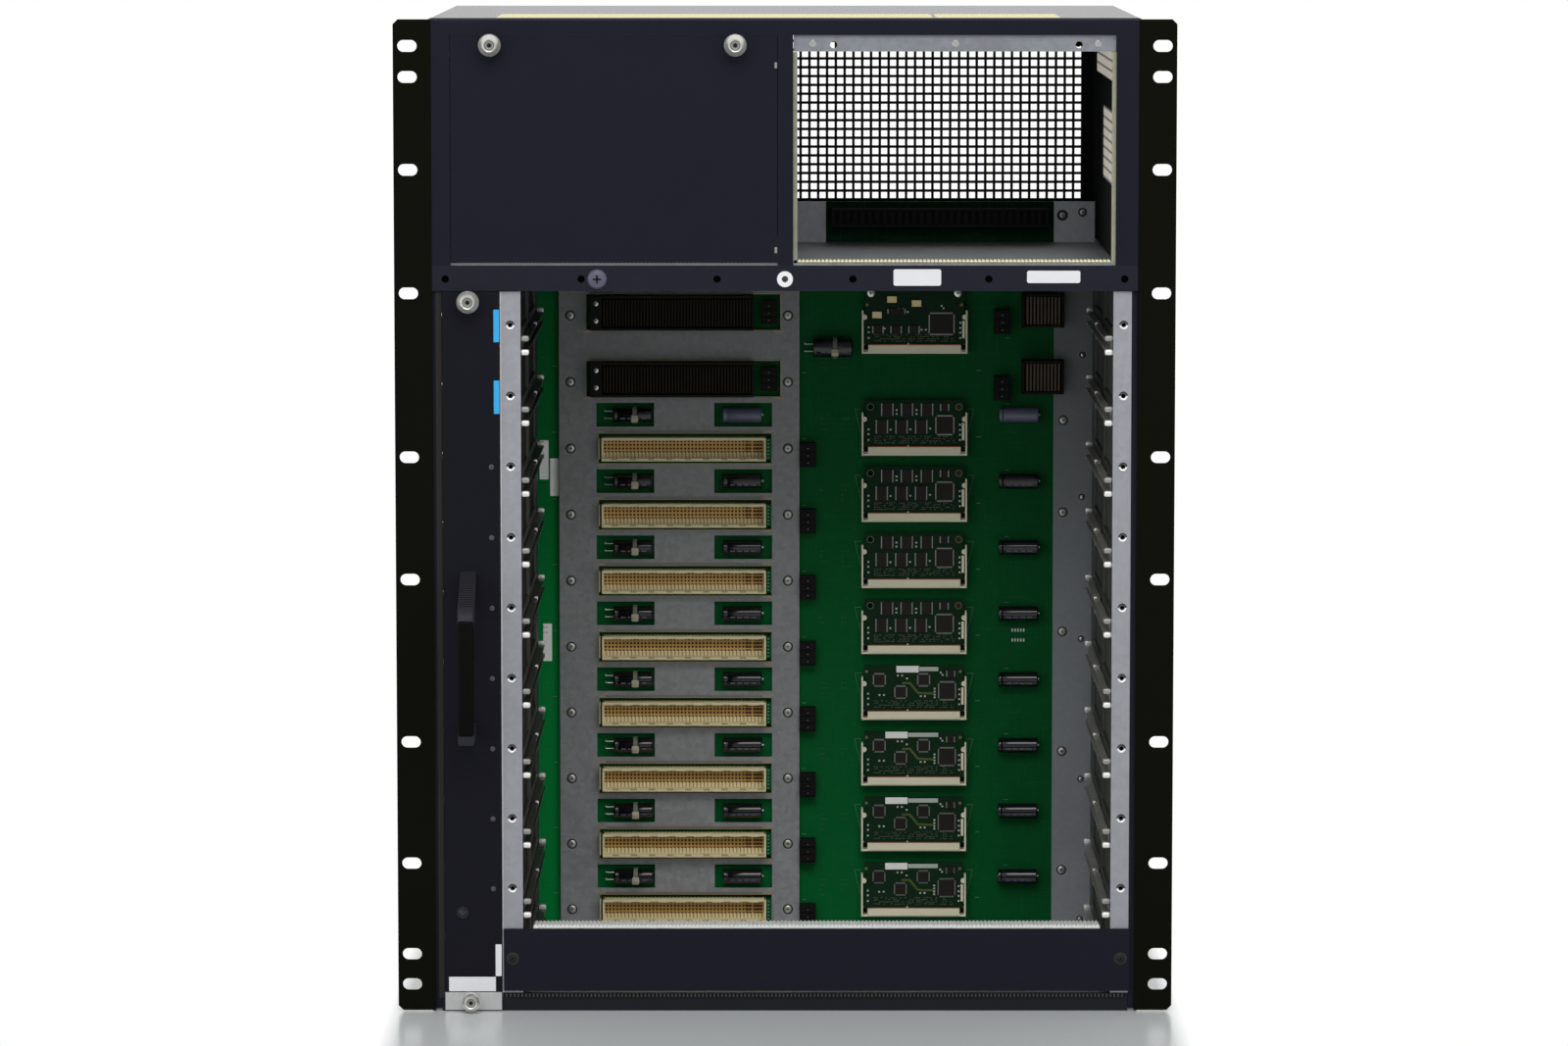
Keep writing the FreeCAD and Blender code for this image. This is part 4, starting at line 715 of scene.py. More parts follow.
# The bright colour of the dimples' lower halves is a painted highlight.
DIMPLE = DimpleZinc("dimple_zinc", (0.85, 0.85, 0.86), 0.35, metallic=0.1, relief=0.004)
LED_RING = Finish("lamp_ring", (0.02, 0.02, 0.024), 0.3, specular=0.2)
LED_LENS = Finish("lamp_lens", (0.01, 0.01, 0.01), 0.15, coat=0.4)
GROUND_ROW = Finish("slot_dot", (0.05, 0.05, 0.065), 0.4)
DARK_BEAD = Finish("dark_bead", (0.045, 0.045, 0.05), 0.4, metallic=0.5)
PEG = Finish("header_peg", (0.45, 0.38, 0.18), 0.5)
POLE_GLINT = Finish("pole_glint", (0.1, 0.1, 0.1), 0.4, metallic=0.5)
PASSIVE_WHITE = Finish("passive_white", (0.6, 0.6, 0.56), 0.4)
STRIP_PRINT = Finish("printed_strip", (0.5, 0.56, 0.48), 0.5)
# The tray frame and rails are bright zinc on the foot below 26 mm and near black above it as painted shade.
FOOT_ZINC_SHADE_ABOVE = SplitZinc("foot_zinc_shade_above", (0.6, 0.6, 0.6), 0.4, metallic=0.6, contrast=0.08, axis=2, at=26.0)
PINS = PinField(
    "header_pins", (0.62, 0.4, 0.135), 0.5, specular=0.2, relief=0.05,
    power=((-26.4, -22.6), (-20.6, -16.0)),
)


# ---- meshes


class Form:
    """A bmesh in millimetres with the finishes that its faces use."""

    def __init__(self, palette: list[Finish] | None = None) -> None:
        """Starts an empty form."""
        self.mesh = bmesh.new()
        self.palette = [] if palette is None else palette

    def part(self) -> "Form":
        """Starts a smaller form that shares this one's finishes."""
        return Form(self.palette)

    def cover(self, verts: Iterable[bmesh.types.BMVert], finish: Finish) -> list[bmesh.types.BMFace]:
        """Gives the faces round some vertices a finish."""
        if finish not in self.palette:
            self.palette.append(finish)
        faces = list({face for vert in verts for face in vert.link_faces})
        for face in faces:
            face.material_index = self.palette.index(finish)
        return faces

    def soften(self, verts: Iterable[bmesh.types.BMVert], width: float, segments: int) -> None:
        """Bevels the edges between some vertices."""
        edges = list({edge for vert in verts for edge in vert.link_edges})
        bmesh.ops.bevel(
            self.mesh, geom=edges, offset=width, offset_type="OFFSET", segments=segments,
            profile=0.5, affect="EDGES", material=-1,
        )

    def block(self, x: Pair, y: Pair, z: Pair, finish: Finish, bevel: float = 0.0, segments: int = 1) -> None:
        """Adds a box.

        Args:
            x: Low and high place across.
            y: Low and high place in depth.
            z: Low and high place in height.
            finish: What it is covered with.
            bevel: Width of its softened edges.
            segments: Steps in the softened edge.
        """
        verts = bmesh.ops.create_cube(self.mesh, size=1.0)["verts"]
        bmesh.ops.scale(self.mesh, vec=(x[1] - x[0], y[1] - y[0], z[1] - z[0]), verts=verts)
        bmesh.ops.translate(self.mesh, vec=(middle(x), middle(y), middle(z)), verts=verts)
        self.cover(verts, finish)
        if bevel:
            self.soften(verts, bevel, segments)

    def rod(
        self, axis: str, span: Pair, centre: Pair, radius: float, finish: Finish,
        segments: int = 20, end_radius: float | None = None,
    ) -> None:
        """Adds a round bar or cone along an axis; centre gives the other two places in XYZ order."""
        last = radius if end_radius is None else end_radius
        verts = bmesh.ops.create_cone(
            self.mesh, cap_ends=True, cap_tris=False, segments=segments,
            radius1=radius, radius2=last, depth=span[1] - span[0],
        )["verts"]
        if axis != "z":
            angle, about = (math.pi / 2, "Y") if axis == "x" else (-math.pi / 2, "X")
            turn = Matrix.Rotation(angle, 3, about)
            bmesh.ops.rotate(self.mesh, cent=(0, 0, 0), matrix=turn, verts=verts)
        places = list(centre)
        places.insert("xyz".index(axis), middle(span))
        bmesh.ops.translate(self.mesh, vec=places, verts=verts)
        self.cover(verts, finish)

    def turned(
        self, centre: Pair, outline: Sequence[Pair], finish: Finish, segments: int = 24, axis: str = "Y"
    ) -> None:
        """Adds a body turned about an axis.

        Args:
            centre: The two places across the axis, in XYZ order.
            outline: Radius and place along the axis, in order.
            finish: What it is covered with.
            segments: Steps round the turn.
            axis: The axis it is turned about, X or Y.
        """
        along = Vector((0, 1, 0)) if axis == "Y" else Vector((1, 0, 0))
        verts = [self.mesh.verts.new(Vector((0, 0, radius)) + along * place) for radius, place in outline]
        edges = [self.mesh.edges.new(pair) for pair in zip(verts, verts[1:])]
        made = bmesh.ops.spin(
            self.mesh, geom=verts + edges, cent=(0, 0, 0), axis=along, dvec=(0, 0, 0),
            angle=math.tau, steps=segments, use_merge=True, use_normal_flip=False, use_duplicate=False,
        )
        last = {item for item in made["geom_last"] if isinstance(item, bmesh.types.BMVert)}
        fresh = self.connected(last | set(verts))
        bmesh.ops.remove_doubles(self.mesh, verts=list(fresh), dist=1e-4)
        fresh = {vert for vert in fresh if vert.is_valid}
        faces = self.cover(fresh, finish)
        bmesh.ops.recalc_face_normals(self.mesh, faces=faces)
        shift = (centre[0], 0, centre[1]) if axis == "Y" else (0, centre[0], centre[1])
        bmesh.ops.translate(self.mesh, vec=shift, verts=list(fresh))

    @staticmethod
    def connected(start: Iterable[bmesh.types.BMVert]) -> set[bmesh.types.BMVert]:
        """Gives every vertex that edges join to the given ones."""
        found = {vert for vert in start if vert.is_valid}
        waiting = list(found)
        while waiting:
            vert = waiting.pop()
            for edge in vert.link_edges:
                other = edge.other_vert(vert)
                if other not in found:
                    found.add(other)
                    waiting.append(other)
        return found

    def slab(
        self, outline: Sequence[Pair], span: Pair, finish: Finish, normal: str = "Y", bevel: float = 0.0
    ) -> None:
        """Adds a flat shape with a thickness.

        Args:
            outline: Its corners, as X and Z pairs, or Y and Z pairs where the normal is X.
            span: Where it starts and ends along its normal.
            finish: What it is covered with.
            normal: The axis of its thickness, X or Y.
            bevel: Width of its softened edges.
        """
        start, depth = span[0], span[1] - span[0]
        if normal == "Y":
            places, push = [(a, start, b) for a, b in outline], (0, depth, 0)
        else:
            places, push = [(start, a, b) for a, b in outline], (depth, 0, 0)
        corners = [self.mesh.verts.new(place) for place in places]
        face = self.mesh.faces.new(corners)
        made = bmesh.ops.extrude_face_region(self.mesh, geom=[face], use_keep_orig=True)["geom"]
        moved = [item for item in made if isinstance(item, bmesh.types.BMVert)]
        bmesh.ops.translate(self.mesh, vec=push, verts=moved)
        faces = self.cover(corners + moved, finish)
        bmesh.ops.recalc_face_normals(self.mesh, faces=faces)
        if bevel:
            self.soften(corners + moved, bevel, 1)

    def label(self, x: Pair, depth: Pair, z: Pair, finish: Finish, radius: float = 1.3) -> None:
        """Adds a thin plate with rounded corners."""
        left, right = x[0] + radius, x[1] - radius
        low, high = z[0] + radius, z[1] - radius
        outline = []
        for number, (cx, cz) in enumerate(((right, high), (left, high), (left, low), (right, low))):
            for turn in spread(0.0, math.pi / 2, 5):
                angle = number * math.pi / 2 + turn
                outline.append((cx + radius * math.cos(angle), cz + radius * math.sin(angle)))
        self.slab(outline, depth, finish)

    def disc(
        self, centre: Pair, radius: float, face: float, rise: float, finish: Finish, segments: int = 20
    ) -> None:
        """Adds a flat disc that stands out of a face."""
        profile = [(0, -rise), (radius, -rise), (radius, 0), (0, 0)]
        self.boss(centre, face, profile, finish, segments)

    def boss(
        self, centre: Pair, face: float, profile: Sequence[Pair], finish: Finish, segments: int = 18
    ) -> None:
        """Adds a body turned about a line across a face.

        Args:
            centre: Its place across and its height.
            face: The depth that the profile starts from.
            profile: Radius and depth behind the face, in order.
            finish: What it is covered with.
            segments: Steps round the turn.
        """
        self.turned(centre, [(radius, face + depth) for radius, depth in profile], finish, segments)

    def border(self, x: Pair, y: Pair, z: Pair, line: float, finish: Finish, bevel: float = 0.0) -> None:
        """Adds four bars just inside an outline; the upright ones run its full height."""
        for across, height in (
            (x, (z[1] - line, z[1])), (x, (z[0], z[0] + line)),
            ((x[0], x[0] + line), z), ((x[1] - line, x[1]), z),
        ):
            self.block(across, y, height, finish, bevel)

    def stamp(self, part: "Form", places: Iterable[Sequence[float]]) -> None:
        """Copies a smaller form to each place and frees it."""
        template = bpy.data.meshes.new("template")
        part.mesh.to_mesh(template)
        part.mesh.free()
        for place in places:
            copy = template.copy()
            copy.transform(Matrix.Translation(place))
            self.mesh.from_mesh(copy)
            bpy.data.meshes.remove(copy)
        bpy.data.meshes.remove(template)

    def row(self, part: "Form", first: float, last: float, count: int) -> None:
        """Copies a smaller form to evenly spaced places across."""
        self.stamp(part, [(x, 0, 0) for x in spread(first, last, count)])

    def beads(self, bead: "Form", across: Pair) -> None:
        """Copies a bead all along a contact strip."""
        low, high = across
        self.row(bead, low + BEAD_INSET, high - BEAD_INSET, int((high - low) / BEAD_PITCH))

    def mirror(self) -> None:
        """Turns the form into its mirror image across the middle."""
        bmesh.ops.scale(self.mesh, vec=(-1, 1, 1), verts=self.mesh.verts)
        bmesh.ops.reverse_faces(self.mesh, faces=self.mesh.faces)

    def done(self, name: str, slot: Slot, *replaces: str, body: Body = Body.CHASSIS) -> None:
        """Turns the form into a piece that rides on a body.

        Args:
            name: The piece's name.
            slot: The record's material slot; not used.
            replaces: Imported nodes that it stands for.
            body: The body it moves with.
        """
        bmesh.ops.scale(self.mesh, vec=(MM, MM, MM), verts=self.mesh.verts)
        data = bpy.data.meshes.new(name)
        self.mesh.to_mesh(data)
        self.mesh.free()
        for finish in self.palette:
            data.materials.append(material(finish))
        data.shade_smooth()
        data.set_sharp_from_angle(angle=math.radians(32))
        piece = bpy.data.objects.new(name, data)
        bpy.context.scene.collection.objects.link(piece)
        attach(piece, body.value)
        if replaces:
            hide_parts(*replaces)
        LOG.info("%s: %d faces on %s", name, len(data.polygons), body.value)


def dress(finish: Finish, *nodes: str) -> None:
    """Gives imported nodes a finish."""
    for node in nodes:
        for slot in frame["nodes"][node].material_slots:
            slot.material = material(finish)
        LOG.info("%s: %s", node, finish.name)


@dataclass
class Screw:
    """A pan-head screw with a cross recess, drawn as a dark cross of painted shade, that faces the front."""

    radius: float = 2.8
    dome: float = 1.5
    finish: Finish = STEEL
    ring: float = 0.0

    def draw(self, form: Form, face: float) -> Form:
        """Makes the screw at the origin, standing on a face.

        Args:
            form: The form it will be stamped into.
            face: The depth of the surface under its head.

        Returns:
            A part that holds the screw.
        """
        part = form.part()
        top = face - self.dome
        if self.ring:
            part.disc((0, 0), self.radius + self.ring, face, 0.1, DARK_RING)
        part.turned(
            (0, 0),
            [(0, top), (self.radius * 0.55, top + 0.05), (self.radius * 0.86, top + self.dome * 0.35),
             (self.radius, face - 0.2), (self.radius, face), (0, face)],
            self.finish, 18,
        )
        # The cross recess is a thin near-black cross on the dome: painted shade.
        arm = (-self.radius * 0.42, self.radius * 0.42)
        width = (-self.radius * 0.09, self.radius * 0.09)
        for across, height in ((arm, width), (width, arm)):
            part.block(across, (top - 0.03, top + 0.3), height, RECESS_PAINTED_SHADE)
        return part


# ---- outer chassis


@dataclass
class Shell:
    """The outer sheets, the bezel, the ears and what is fixed to them."""

    strip_places: tuple[Pair, ...] = ((-178.0, 91.0), (93.5, 170.0))
    strip_depth: Pair = (10.0, 97.0)
    ear_screw_depth: float = 24.0
    ear_screw_count: int = 4
    crossbar_screw: float = -116.0
    labels: tuple[tuple[Pair, Pair], ...] = (
        ((67.0, 96.4), (453.7, 463.9)), ((149.4, 182.3), (455.4, 463.0)),
    )

    def build(self) -> None:
        """Dresses the shell and adds its small parts."""
        front = cad("front_frame").y[0]
        paint = CoverPaint(
            "cover_paint", NAVY.colour, 0.27, specular=0.7, grain=0.9,
            strips=self.strip_places, depth=tuple(front + depth for depth in self.strip_depth),
        )
        dress(paint, "top_cover")
        dress(LIP_PAINT, "bottom_pan")
        dress(NAVY, "side_wall_left", "side_wall_right", "front_frame")
        dress(CROSSBAR_NAVY, "crossbar")
        dress(EAR_BLACK, "rack_ear_left", "rack_ear_right")
        dress(JACK_STEEL, "esd_jack")
        self.ear_screws(front)
        self.crossbar(front)

    def ear_screws(self, front: float) -> None:
        """Adds the screws that hold the ears' legs to the side walls."""
        form = Form()
        right = cad("side_wall_right").x[1] + 2.0
        heights = spread(70.0, 550.0, self.ear_screw_count)
        for side in (-1, 1):
            for height in heights:
                head = form.part()
                outline = [(0, 1.6), (2.2, 1.55), (3.3, 1.0), (3.7, 0.0), (0, 0.0)]
                head.turned((0, 0), [(r, side * a) for r, a in outline], STEEL, 18, axis="X")
                form.stamp(head, [(side * right, front + self.ear_screw_depth, height)])
        form.done("ear_leg_screws", Slot.SCREW)

    def crossbar(self, front: float) -> None:
        """Adds the painted screw and the blank labels on the crossbar."""
        form = Form()
        axis = middle(cad("esd_jack").z)
        form.stamp(Screw(6.2, 2.6, VIOLET_PAINT).draw(form, front), [(self.crossbar_screw, 0, axis)])
        form.done("crossbar_screw", Slot.PAINT)
        form = Form()
        for across, height in self.labels:
            form.label(across, (front - 0.18, front), height, WHITE_LABEL)
        form.done("crossbar_labels", Slot.PAINT)
        self.shadows()

    def shadows(self) -> None:
        """Adds the dark strips behind the crossbar's holes and at the tray's left gap."""
        form = Form()
        bar = cad("crossbar")
        jack = cad("esd_jack")
        depth = (bar.y[1] + 0.05, bar.y[1] + 0.8)
        for across in ((bar.x[0] + 1.0, jack.x[0] - 0.4), (jack.x[1] + 0.4, bar.x[1] - 1.0)):
            form.block(across, depth, (bar.z[0] + 0.4, bar.z[1] - 0.4), DEEP_SHADOW_FILL)
        tray = cad("fan_tray_panel")
        inner = min(tray.x[0], cad("fan_tray_frame").x[0]) - 0.25
        across = (cad("side_wall_left").x[0] + 1.9, inner)
        form.block(across, (tray.y[0] + 1.6, tray.y[0] + 2.4), (8.0, bar.z[0] - 0.4), POST)
        form.done("shadow_strips", Slot.PAINT)


@dataclass
class RearSheet:
    """The rear sheet with a fine square grille behind each power bay."""

    pitch: float = 5.85
    bar: float = 1.75
    columns: int = 33
    rows: int = 20
    bottom: float = 490.0
    inset: float = 3.6
    hidden: float = 3.0

    def build(self) -> None:
        """Makes the sheet round two perforated fields."""
        sheet = cad("rear_panel")
        form = Form()
        width = self.pitch * self.columns
        top = self.bottom + self.pitch * self.rows
        lefts = [cad("bay_cover").x[0] + self.inset, cad("bay_divider").x[1] - self.hidden]
        for left in lefts:
            self.field(form, left, sheet.y)
        edges = [sheet.x[0], lefts[0], lefts[0] + width, lefts[1], lefts[1] + width, sheet.x[1]]
        for low, high in zip(edges[::2], edges[1::2]):
            form.block((low, high), sheet.y, (self.bottom, top), NAVY)
        form.block(sheet.x, sheet.y, (sheet.z[0], self.bottom), NAVY)
        form.block(sheet.x, sheet.y, (top, sheet.z[1]), NAVY)
        form.done("rear_sheet", Slot.ZINC, "rear_panel")
        self.screws(sheet)

    def screws(self, sheet: Box) -> None:
        """Adds the flat screws round the rear sheet's edge."""
        form = Form()
        back = sheet.y[1]
        head = form.part()
        head.boss((0, 0), back, [(0, 0.9), (1.0, 0.9), (2.6, 0.5), (3.0, 0), (0, 0)], STEEL)
        left, right = sheet.x
        columns = [(x, z) for x in (left + 7.0, right - 7.0) for z in spread(24.0, sheet.z[1] - 24.0, 6)]
        rows = (sheet.z[0] + 8.0, self.bottom - 14.0)
        columns += [(x, z) for x in spread(left + 60.0, right - 60.0, 4) for z in rows]
        places = [(x, 0, z) for x, z in columns]
        form.stamp(head, places)
        form.done("rear_screws", Slot.SCREW)

    def field(self, form: Form, left: float, depth: Pair) -> None:
        """Adds one field of square holes."""
        part = form.part()
        grid = bmesh.ops.create_grid(
            part.mesh, x_segments=self.columns, y_segments=self.rows, size=0.5,
        )["verts"]
        size = (self.pitch * self.columns, self.pitch * self.rows, 1.0)
        bmesh.ops.scale(part.mesh, vec=size, verts=grid)
        cells = list(part.mesh.faces)
        bmesh.ops.inset_individual(part.mesh, faces=cells, thickness=self.bar / 2, use_even_offset=True)
        bmesh.ops.delete(part.mesh, geom=cells, context="FACES_ONLY")
        bmesh.ops.solidify(part.mesh, geom=list(part.mesh.faces), thickness=depth[1] - depth[0])
        upright = Matrix.Rotation(math.pi / 2, 3, "X")
        bmesh.ops.rotate(part.mesh, cent=(0, 0, 0), matrix=upright, verts=part.mesh.verts)
        low = min(vert.co.y for vert in part.mesh.verts)
        part.cover(part.mesh.verts, NAVY)
        form.stamp(part, [(left + size[0] / 2, depth[0] - low, self.bottom + size[1] / 2)])


# ---- power bays


@dataclass
class PowerBays:
    """What is fixed inside and round the mouths of the two power bays."""

    rib_count: int = 30
    strip_hole: float = 181.0
    rivets: tuple[float, ...] = (17.0, 105.0, 193.0)

    def build(self) -> None:
        """Dresses the bays and adds contact strips, connectors and screws."""
        dress(SHEET_ZINC, "bay_shelf", "power_brackets")
        dress(DIVIDER_ZINC, "bay_divider")
        # The bay walls are near black behind their hem as painted shade.
        dress(BAY_WALL_SHADE_ZINC, "bay_wall_left", "bay_wall_right")
        dress(BAY_STRIP_ZINC, "bay_strips")
        dress(BAY_BOARD, "power_board_left", "power_board_right")
        self.contacts()
        self.vents()
        for side in ("left", "right"):
            self.connector(side)
        self.fasteners()

    def vents(self) -> None:
        """Adds a self-lit slatted sheet behind the right wall's windows: painted light in place of the light
        through the vents.
        """
        wall = cad("bay_wall_right")
        outer = cad("side_wall_right")
        form = Form()
        across = (outer.x[0] - 0.7, outer.x[0] - 0.1)
        depth = (wall.y[0] + 12.0, wall.y[1] - 6.0)
        form.block(across, depth, (wall.z[0] + 14.0, wall.z[1] - 3.0), PAINTED_VENT_GLOW)
        form.done("bay_painted_vent_glow", Slot.ZINC)

    def contacts(self) -> None:
        """Makes the beaded contact strips on the sills and on the lip under the lowest slot."""
        form = Form()
        cover = cad("bay_cover").x
        for across in (
            (cover[0] + 12, cover[1] - 12), (cad("bay_divider").x[1] - 2.6, cad("bay_wall_right").x[0]),
        ):
            self.sill_beads(form, across)
        self.lip_beads(form)
        form.done("beaded_contacts", Slot.CONTACT, "contact_strips")

    def sill_beads(self, form: Form, across: Pair) -> None:
        """Lays a row of rounded fingers on the sill."""
        sill = cad("bay_shelf")
        front, seat = sill.y[0], sill.z[1]
        form.block(across, (front, front + 12.0), (seat, seat + 0.6), CONTACT_BASE)
        bead = form.part()
        bead.rod("y", (front, front + 11.0), (0, seat + 0.9), BEAD_PITCH * 0.44, CONTACT, 8)
        form.beads(bead, across)

    def lip_beads(self, form: Form) -> None:
        """Makes the dark beaded strip on the lip."""
        strips, face = cad("contact_strips"), cad("bottom_pan").y[0]
        low = strips.z[0]
        high = low + 2.7
        form.block(strips.x, (face - 0.5, face), (low, high), BLACK)
        bead = form.part()
        bead.rod("z", (low + 0.2, high - 0.2), (0, face - 0.5), 0.55, DARK_BEAD, 6)
        form.beads(bead, strips.x)

    def connector(self, side: str) -> None:
        """Makes a blade connector with upright contact slots."""
        node = f"power_connector_{side}"
        box = cad(node)
        front = box.y[0]
        low, high = box.z
        left, right = box.x[0] + 0.9, box.x[1] - 0.9
        form = Form()
        form.block(box.x, (front + 3.0, box.y[1]), box.z, BLACK, 0.3)
        for height in ((low, low + 1.6), (high - 1.6, high)):
            form.block(box.x, (front, front + 3.0), height, BLACK, 0.2)
        rib = form.part()
        rib.block((-0.7, 0.7), (front + 0.2, front + 3.0), (low + 1.6, high - 1.6), BLACK, 0.15)
        form.row(rib, left, right, self.rib_count)
        # Near-black blocks in the slots between the ribs: painted shade.
        contact = form.part()
        contact.block((-0.5, 0.5), (front + 2.2, front + 3.2), (low + 2.4, high - 2.4), RECESS_SHADOW)
        half = (right - left) / (self.rib_count - 1) / 2
        form.row(contact, left + half, right - half, self.rib_count - 1)
        form.done(f"{node}_ribs", Slot.BLACK, node)

    def fasteners(self) -> None:
        """Adds the bracket screws and the rivets of the upper strip."""
        form = Form()
        brackets = cad("power_brackets")
        place = brackets.x[1] - 12.0
        height = brackets.z[1] - 9.0
        for screw, right, up in (
            (Screw(2.3, 1.2, PLATE_SCREW, ring=1.3), -9.0, 0.0),
            (Screw(2.1, 1.1, PLATE_SCREW, ring=0.8), 4.0, 2.0),
        ):
            form.stamp(screw.draw(form, brackets.y[0]), [(place + right, 0, height + up)])
        strips = cad("bay_strips")
        rivet = form.part()
        face = strips.y[0]
        rivet.boss((0, 0), face, [(0, -0.7), (1.4, -0.6), (2.2, 0), (0, 0)], STEEL, 16)
        top = cad("front_frame").z[1]
        height = middle((top - 19.2, top - 9.0))
        form.stamp(rivet, [(x, 0, height) for x in self.rivets])
        # A near-black disc behind the strip's hole: painted shade.
        form.rod("y", (strips.y[1] + 0.1, strips.y[1] + 0.5), (self.strip_hole, height), 2.6, DEEP_SHADOW_FILL, 16)
        form.done("bay_fasteners", Slot.SCREW)


# ---- card cage


@dataclass
class CardGuides:
    """Twenty channel guides with flared lips, a raised tab half-way and ribs at the back."""

    drop: float = 12.9
    mouth: float = 5.2
    wall: float = 0.9
    reach: float = 5.0
    flare: float = 2.0
    flare_depth: float = 9.0
    bump: float = 1.9
    ribs: int = 9

    def build(self) -> None:
        """Makes the guides of both sides and dresses the cage walls."""
        dress(FLANGE_ZINC, "cage_wall_left", "cage_wall_right")
        for side, node in ((1, "card_guides_left"), (-1, "card_guides_right")):
            box = cad(node)
            form = Form()
            guide = form.part()
            self.guide(guide, box.y)
            if side < 0:
                guide.mirror()
            edge = box.x[0] if side > 0 else box.x[1]
            form.stamp(guide, [(edge, 0, height - self.drop) for height in slot_heights()])
            form.done(f"{node}_channels", Slot.BRIGHT_ZINC, node)
        self.thread_rims()
        self.liners()

    def liners(self) -> None:
        """Adds the sheets behind the openings of the cage walls, darkened with painted shade."""
        form = Form()
        wall = cad("cage_wall_left")
        depth = (wall.y[0] + 9.0, BOARD_FACE - 6.0)
        height = (wall.z[0] + 6.0, wall.z[1] - 6.0)
        for edge, side, finish in (
            (cad("card_guides_left").x[0], -1, LEFT_LINER_SHADE),
            (cad("card_guides_right").x[1], 1, RIGHT_LINER_SHADE),
        ):
            form.block(beside(edge, side, 1.7, 2.2), depth, height, finish)
        form.done("cage_liners", Slot.ZINC)

    def guide(self, form: Form, depth: Pair) -> None:
        """Makes one guide at the origin, reaching towards +X."""
        start, end = depth
        half = self.mouth / 2
        far = half + self.wall
        form.block((0, self.wall), (start + self.flare_depth, end), (-far, far), GUIDE_ZINC_LEFT_SHADE, 0.15)
        bump = (start + end) / 2 - 6
        for side in (1, -1):
            near = side * half
            far = near + side * self.wall
            tip = side * self.flare
            mouth = start + self.flare_depth
            outline = [
                (start, near + tip), (start + 1.2, near + tip * 0.55), (start + 3.5, near + tip * 0.2),
                (mouth, near), (end, near), (end, far), (mouth, far),
                (start + 3.2, far + tip * 0.2), (start + 0.7, far + tip * 0.6), (start - 0.2, far + tip),
            ]
            raised = far + side * self.bump
            tab = [(bump, far), (bump + 3.0, raised), (bump + 8.0, raised), (bump + 12.0, far)]
            raised = far + side * 1.6
            stop = [(end - 5.0, far), (end - 3.5, raised), (end, raised), (end, far)]
            for shape, inner in ((outline, 0.0), (tab, self.reach * 0.3), (stop, 0.0)):
                form.slab(shape, (inner, self.reach), GUIDE_ZINC_LEFT_SHADE, normal="X")
            # The lower lip gets the painted highlight, the upper lip the dimmer zinc.
            lip = GUIDE_SOFT if side > 0 else GUIDE_PAINTED_HIGHLIGHT
            low, high = sorted((near + tip * 0.2, far + tip * 1.05))
            outer = self.reach + 0.2
            form.block((0.0, outer), (start - 0.6, start + 3.4), (low - 0.5, high + 0.5), lip, 1.25, 3)
        far = half + self.wall
        # Bright blocks on the raised tab and at the stop: painted highlights.
        for across, depth, height, bevel in (
            ((self.reach - 1.8, self.reach + 0.4), (bump + 2.0, bump + 5.0), (far, far + 2.4), 0.6),
            ((0.6, outer), (end - 6.0, end - 1.0), (far - 0.4, far + 2.8), 0.9),
        ):
            form.block(across, depth, height, GUIDE_PAINTED_HIGHLIGHT, bevel, 2)
        rib = form.part()
        slant = [(0, 0), (1.6, 0.0), (6.4, 0.5), (4.8, 0.5)]
        rib.slab(slant, (0.4, self.reach - 0.2), GUIDE_ZINC_LEFT_SHADE, normal="X")
        places = spread(bump + 16.0, end - 14.0, self.ribs)
        form.stamp(rib, [(0, place, far) for place in places])

    def thread_rims(self) -> None:
        """Adds the dished rims of the tapped holes down both flanges."""
        form = Form()
        face = cad("cage_wall_left").y[0]
        rim = form.part()
        dish = [(2.75, 0.0), (2.6, -0.3), (2.3, -0.35), (1.5, 0.1), (1.45, 1.4)]
        rim.boss((0, 0), face, dish, DIMPLE, 24)
        mount = next(m for m in frame["record"]["mounts"] if m["name"] == "slot_1_screws")
        centre = mount["pos_m"][0] / MM
        half = mount["dims"]["spacing_x_mm"] / 2
        places = [(centre + side * half, 0, height) for side in (-1, 1) for height in slot_heights()[:-1]]
        form.stamp(rim, places)
        form.done("thread_rims", Slot.BRIGHT_ZINC)


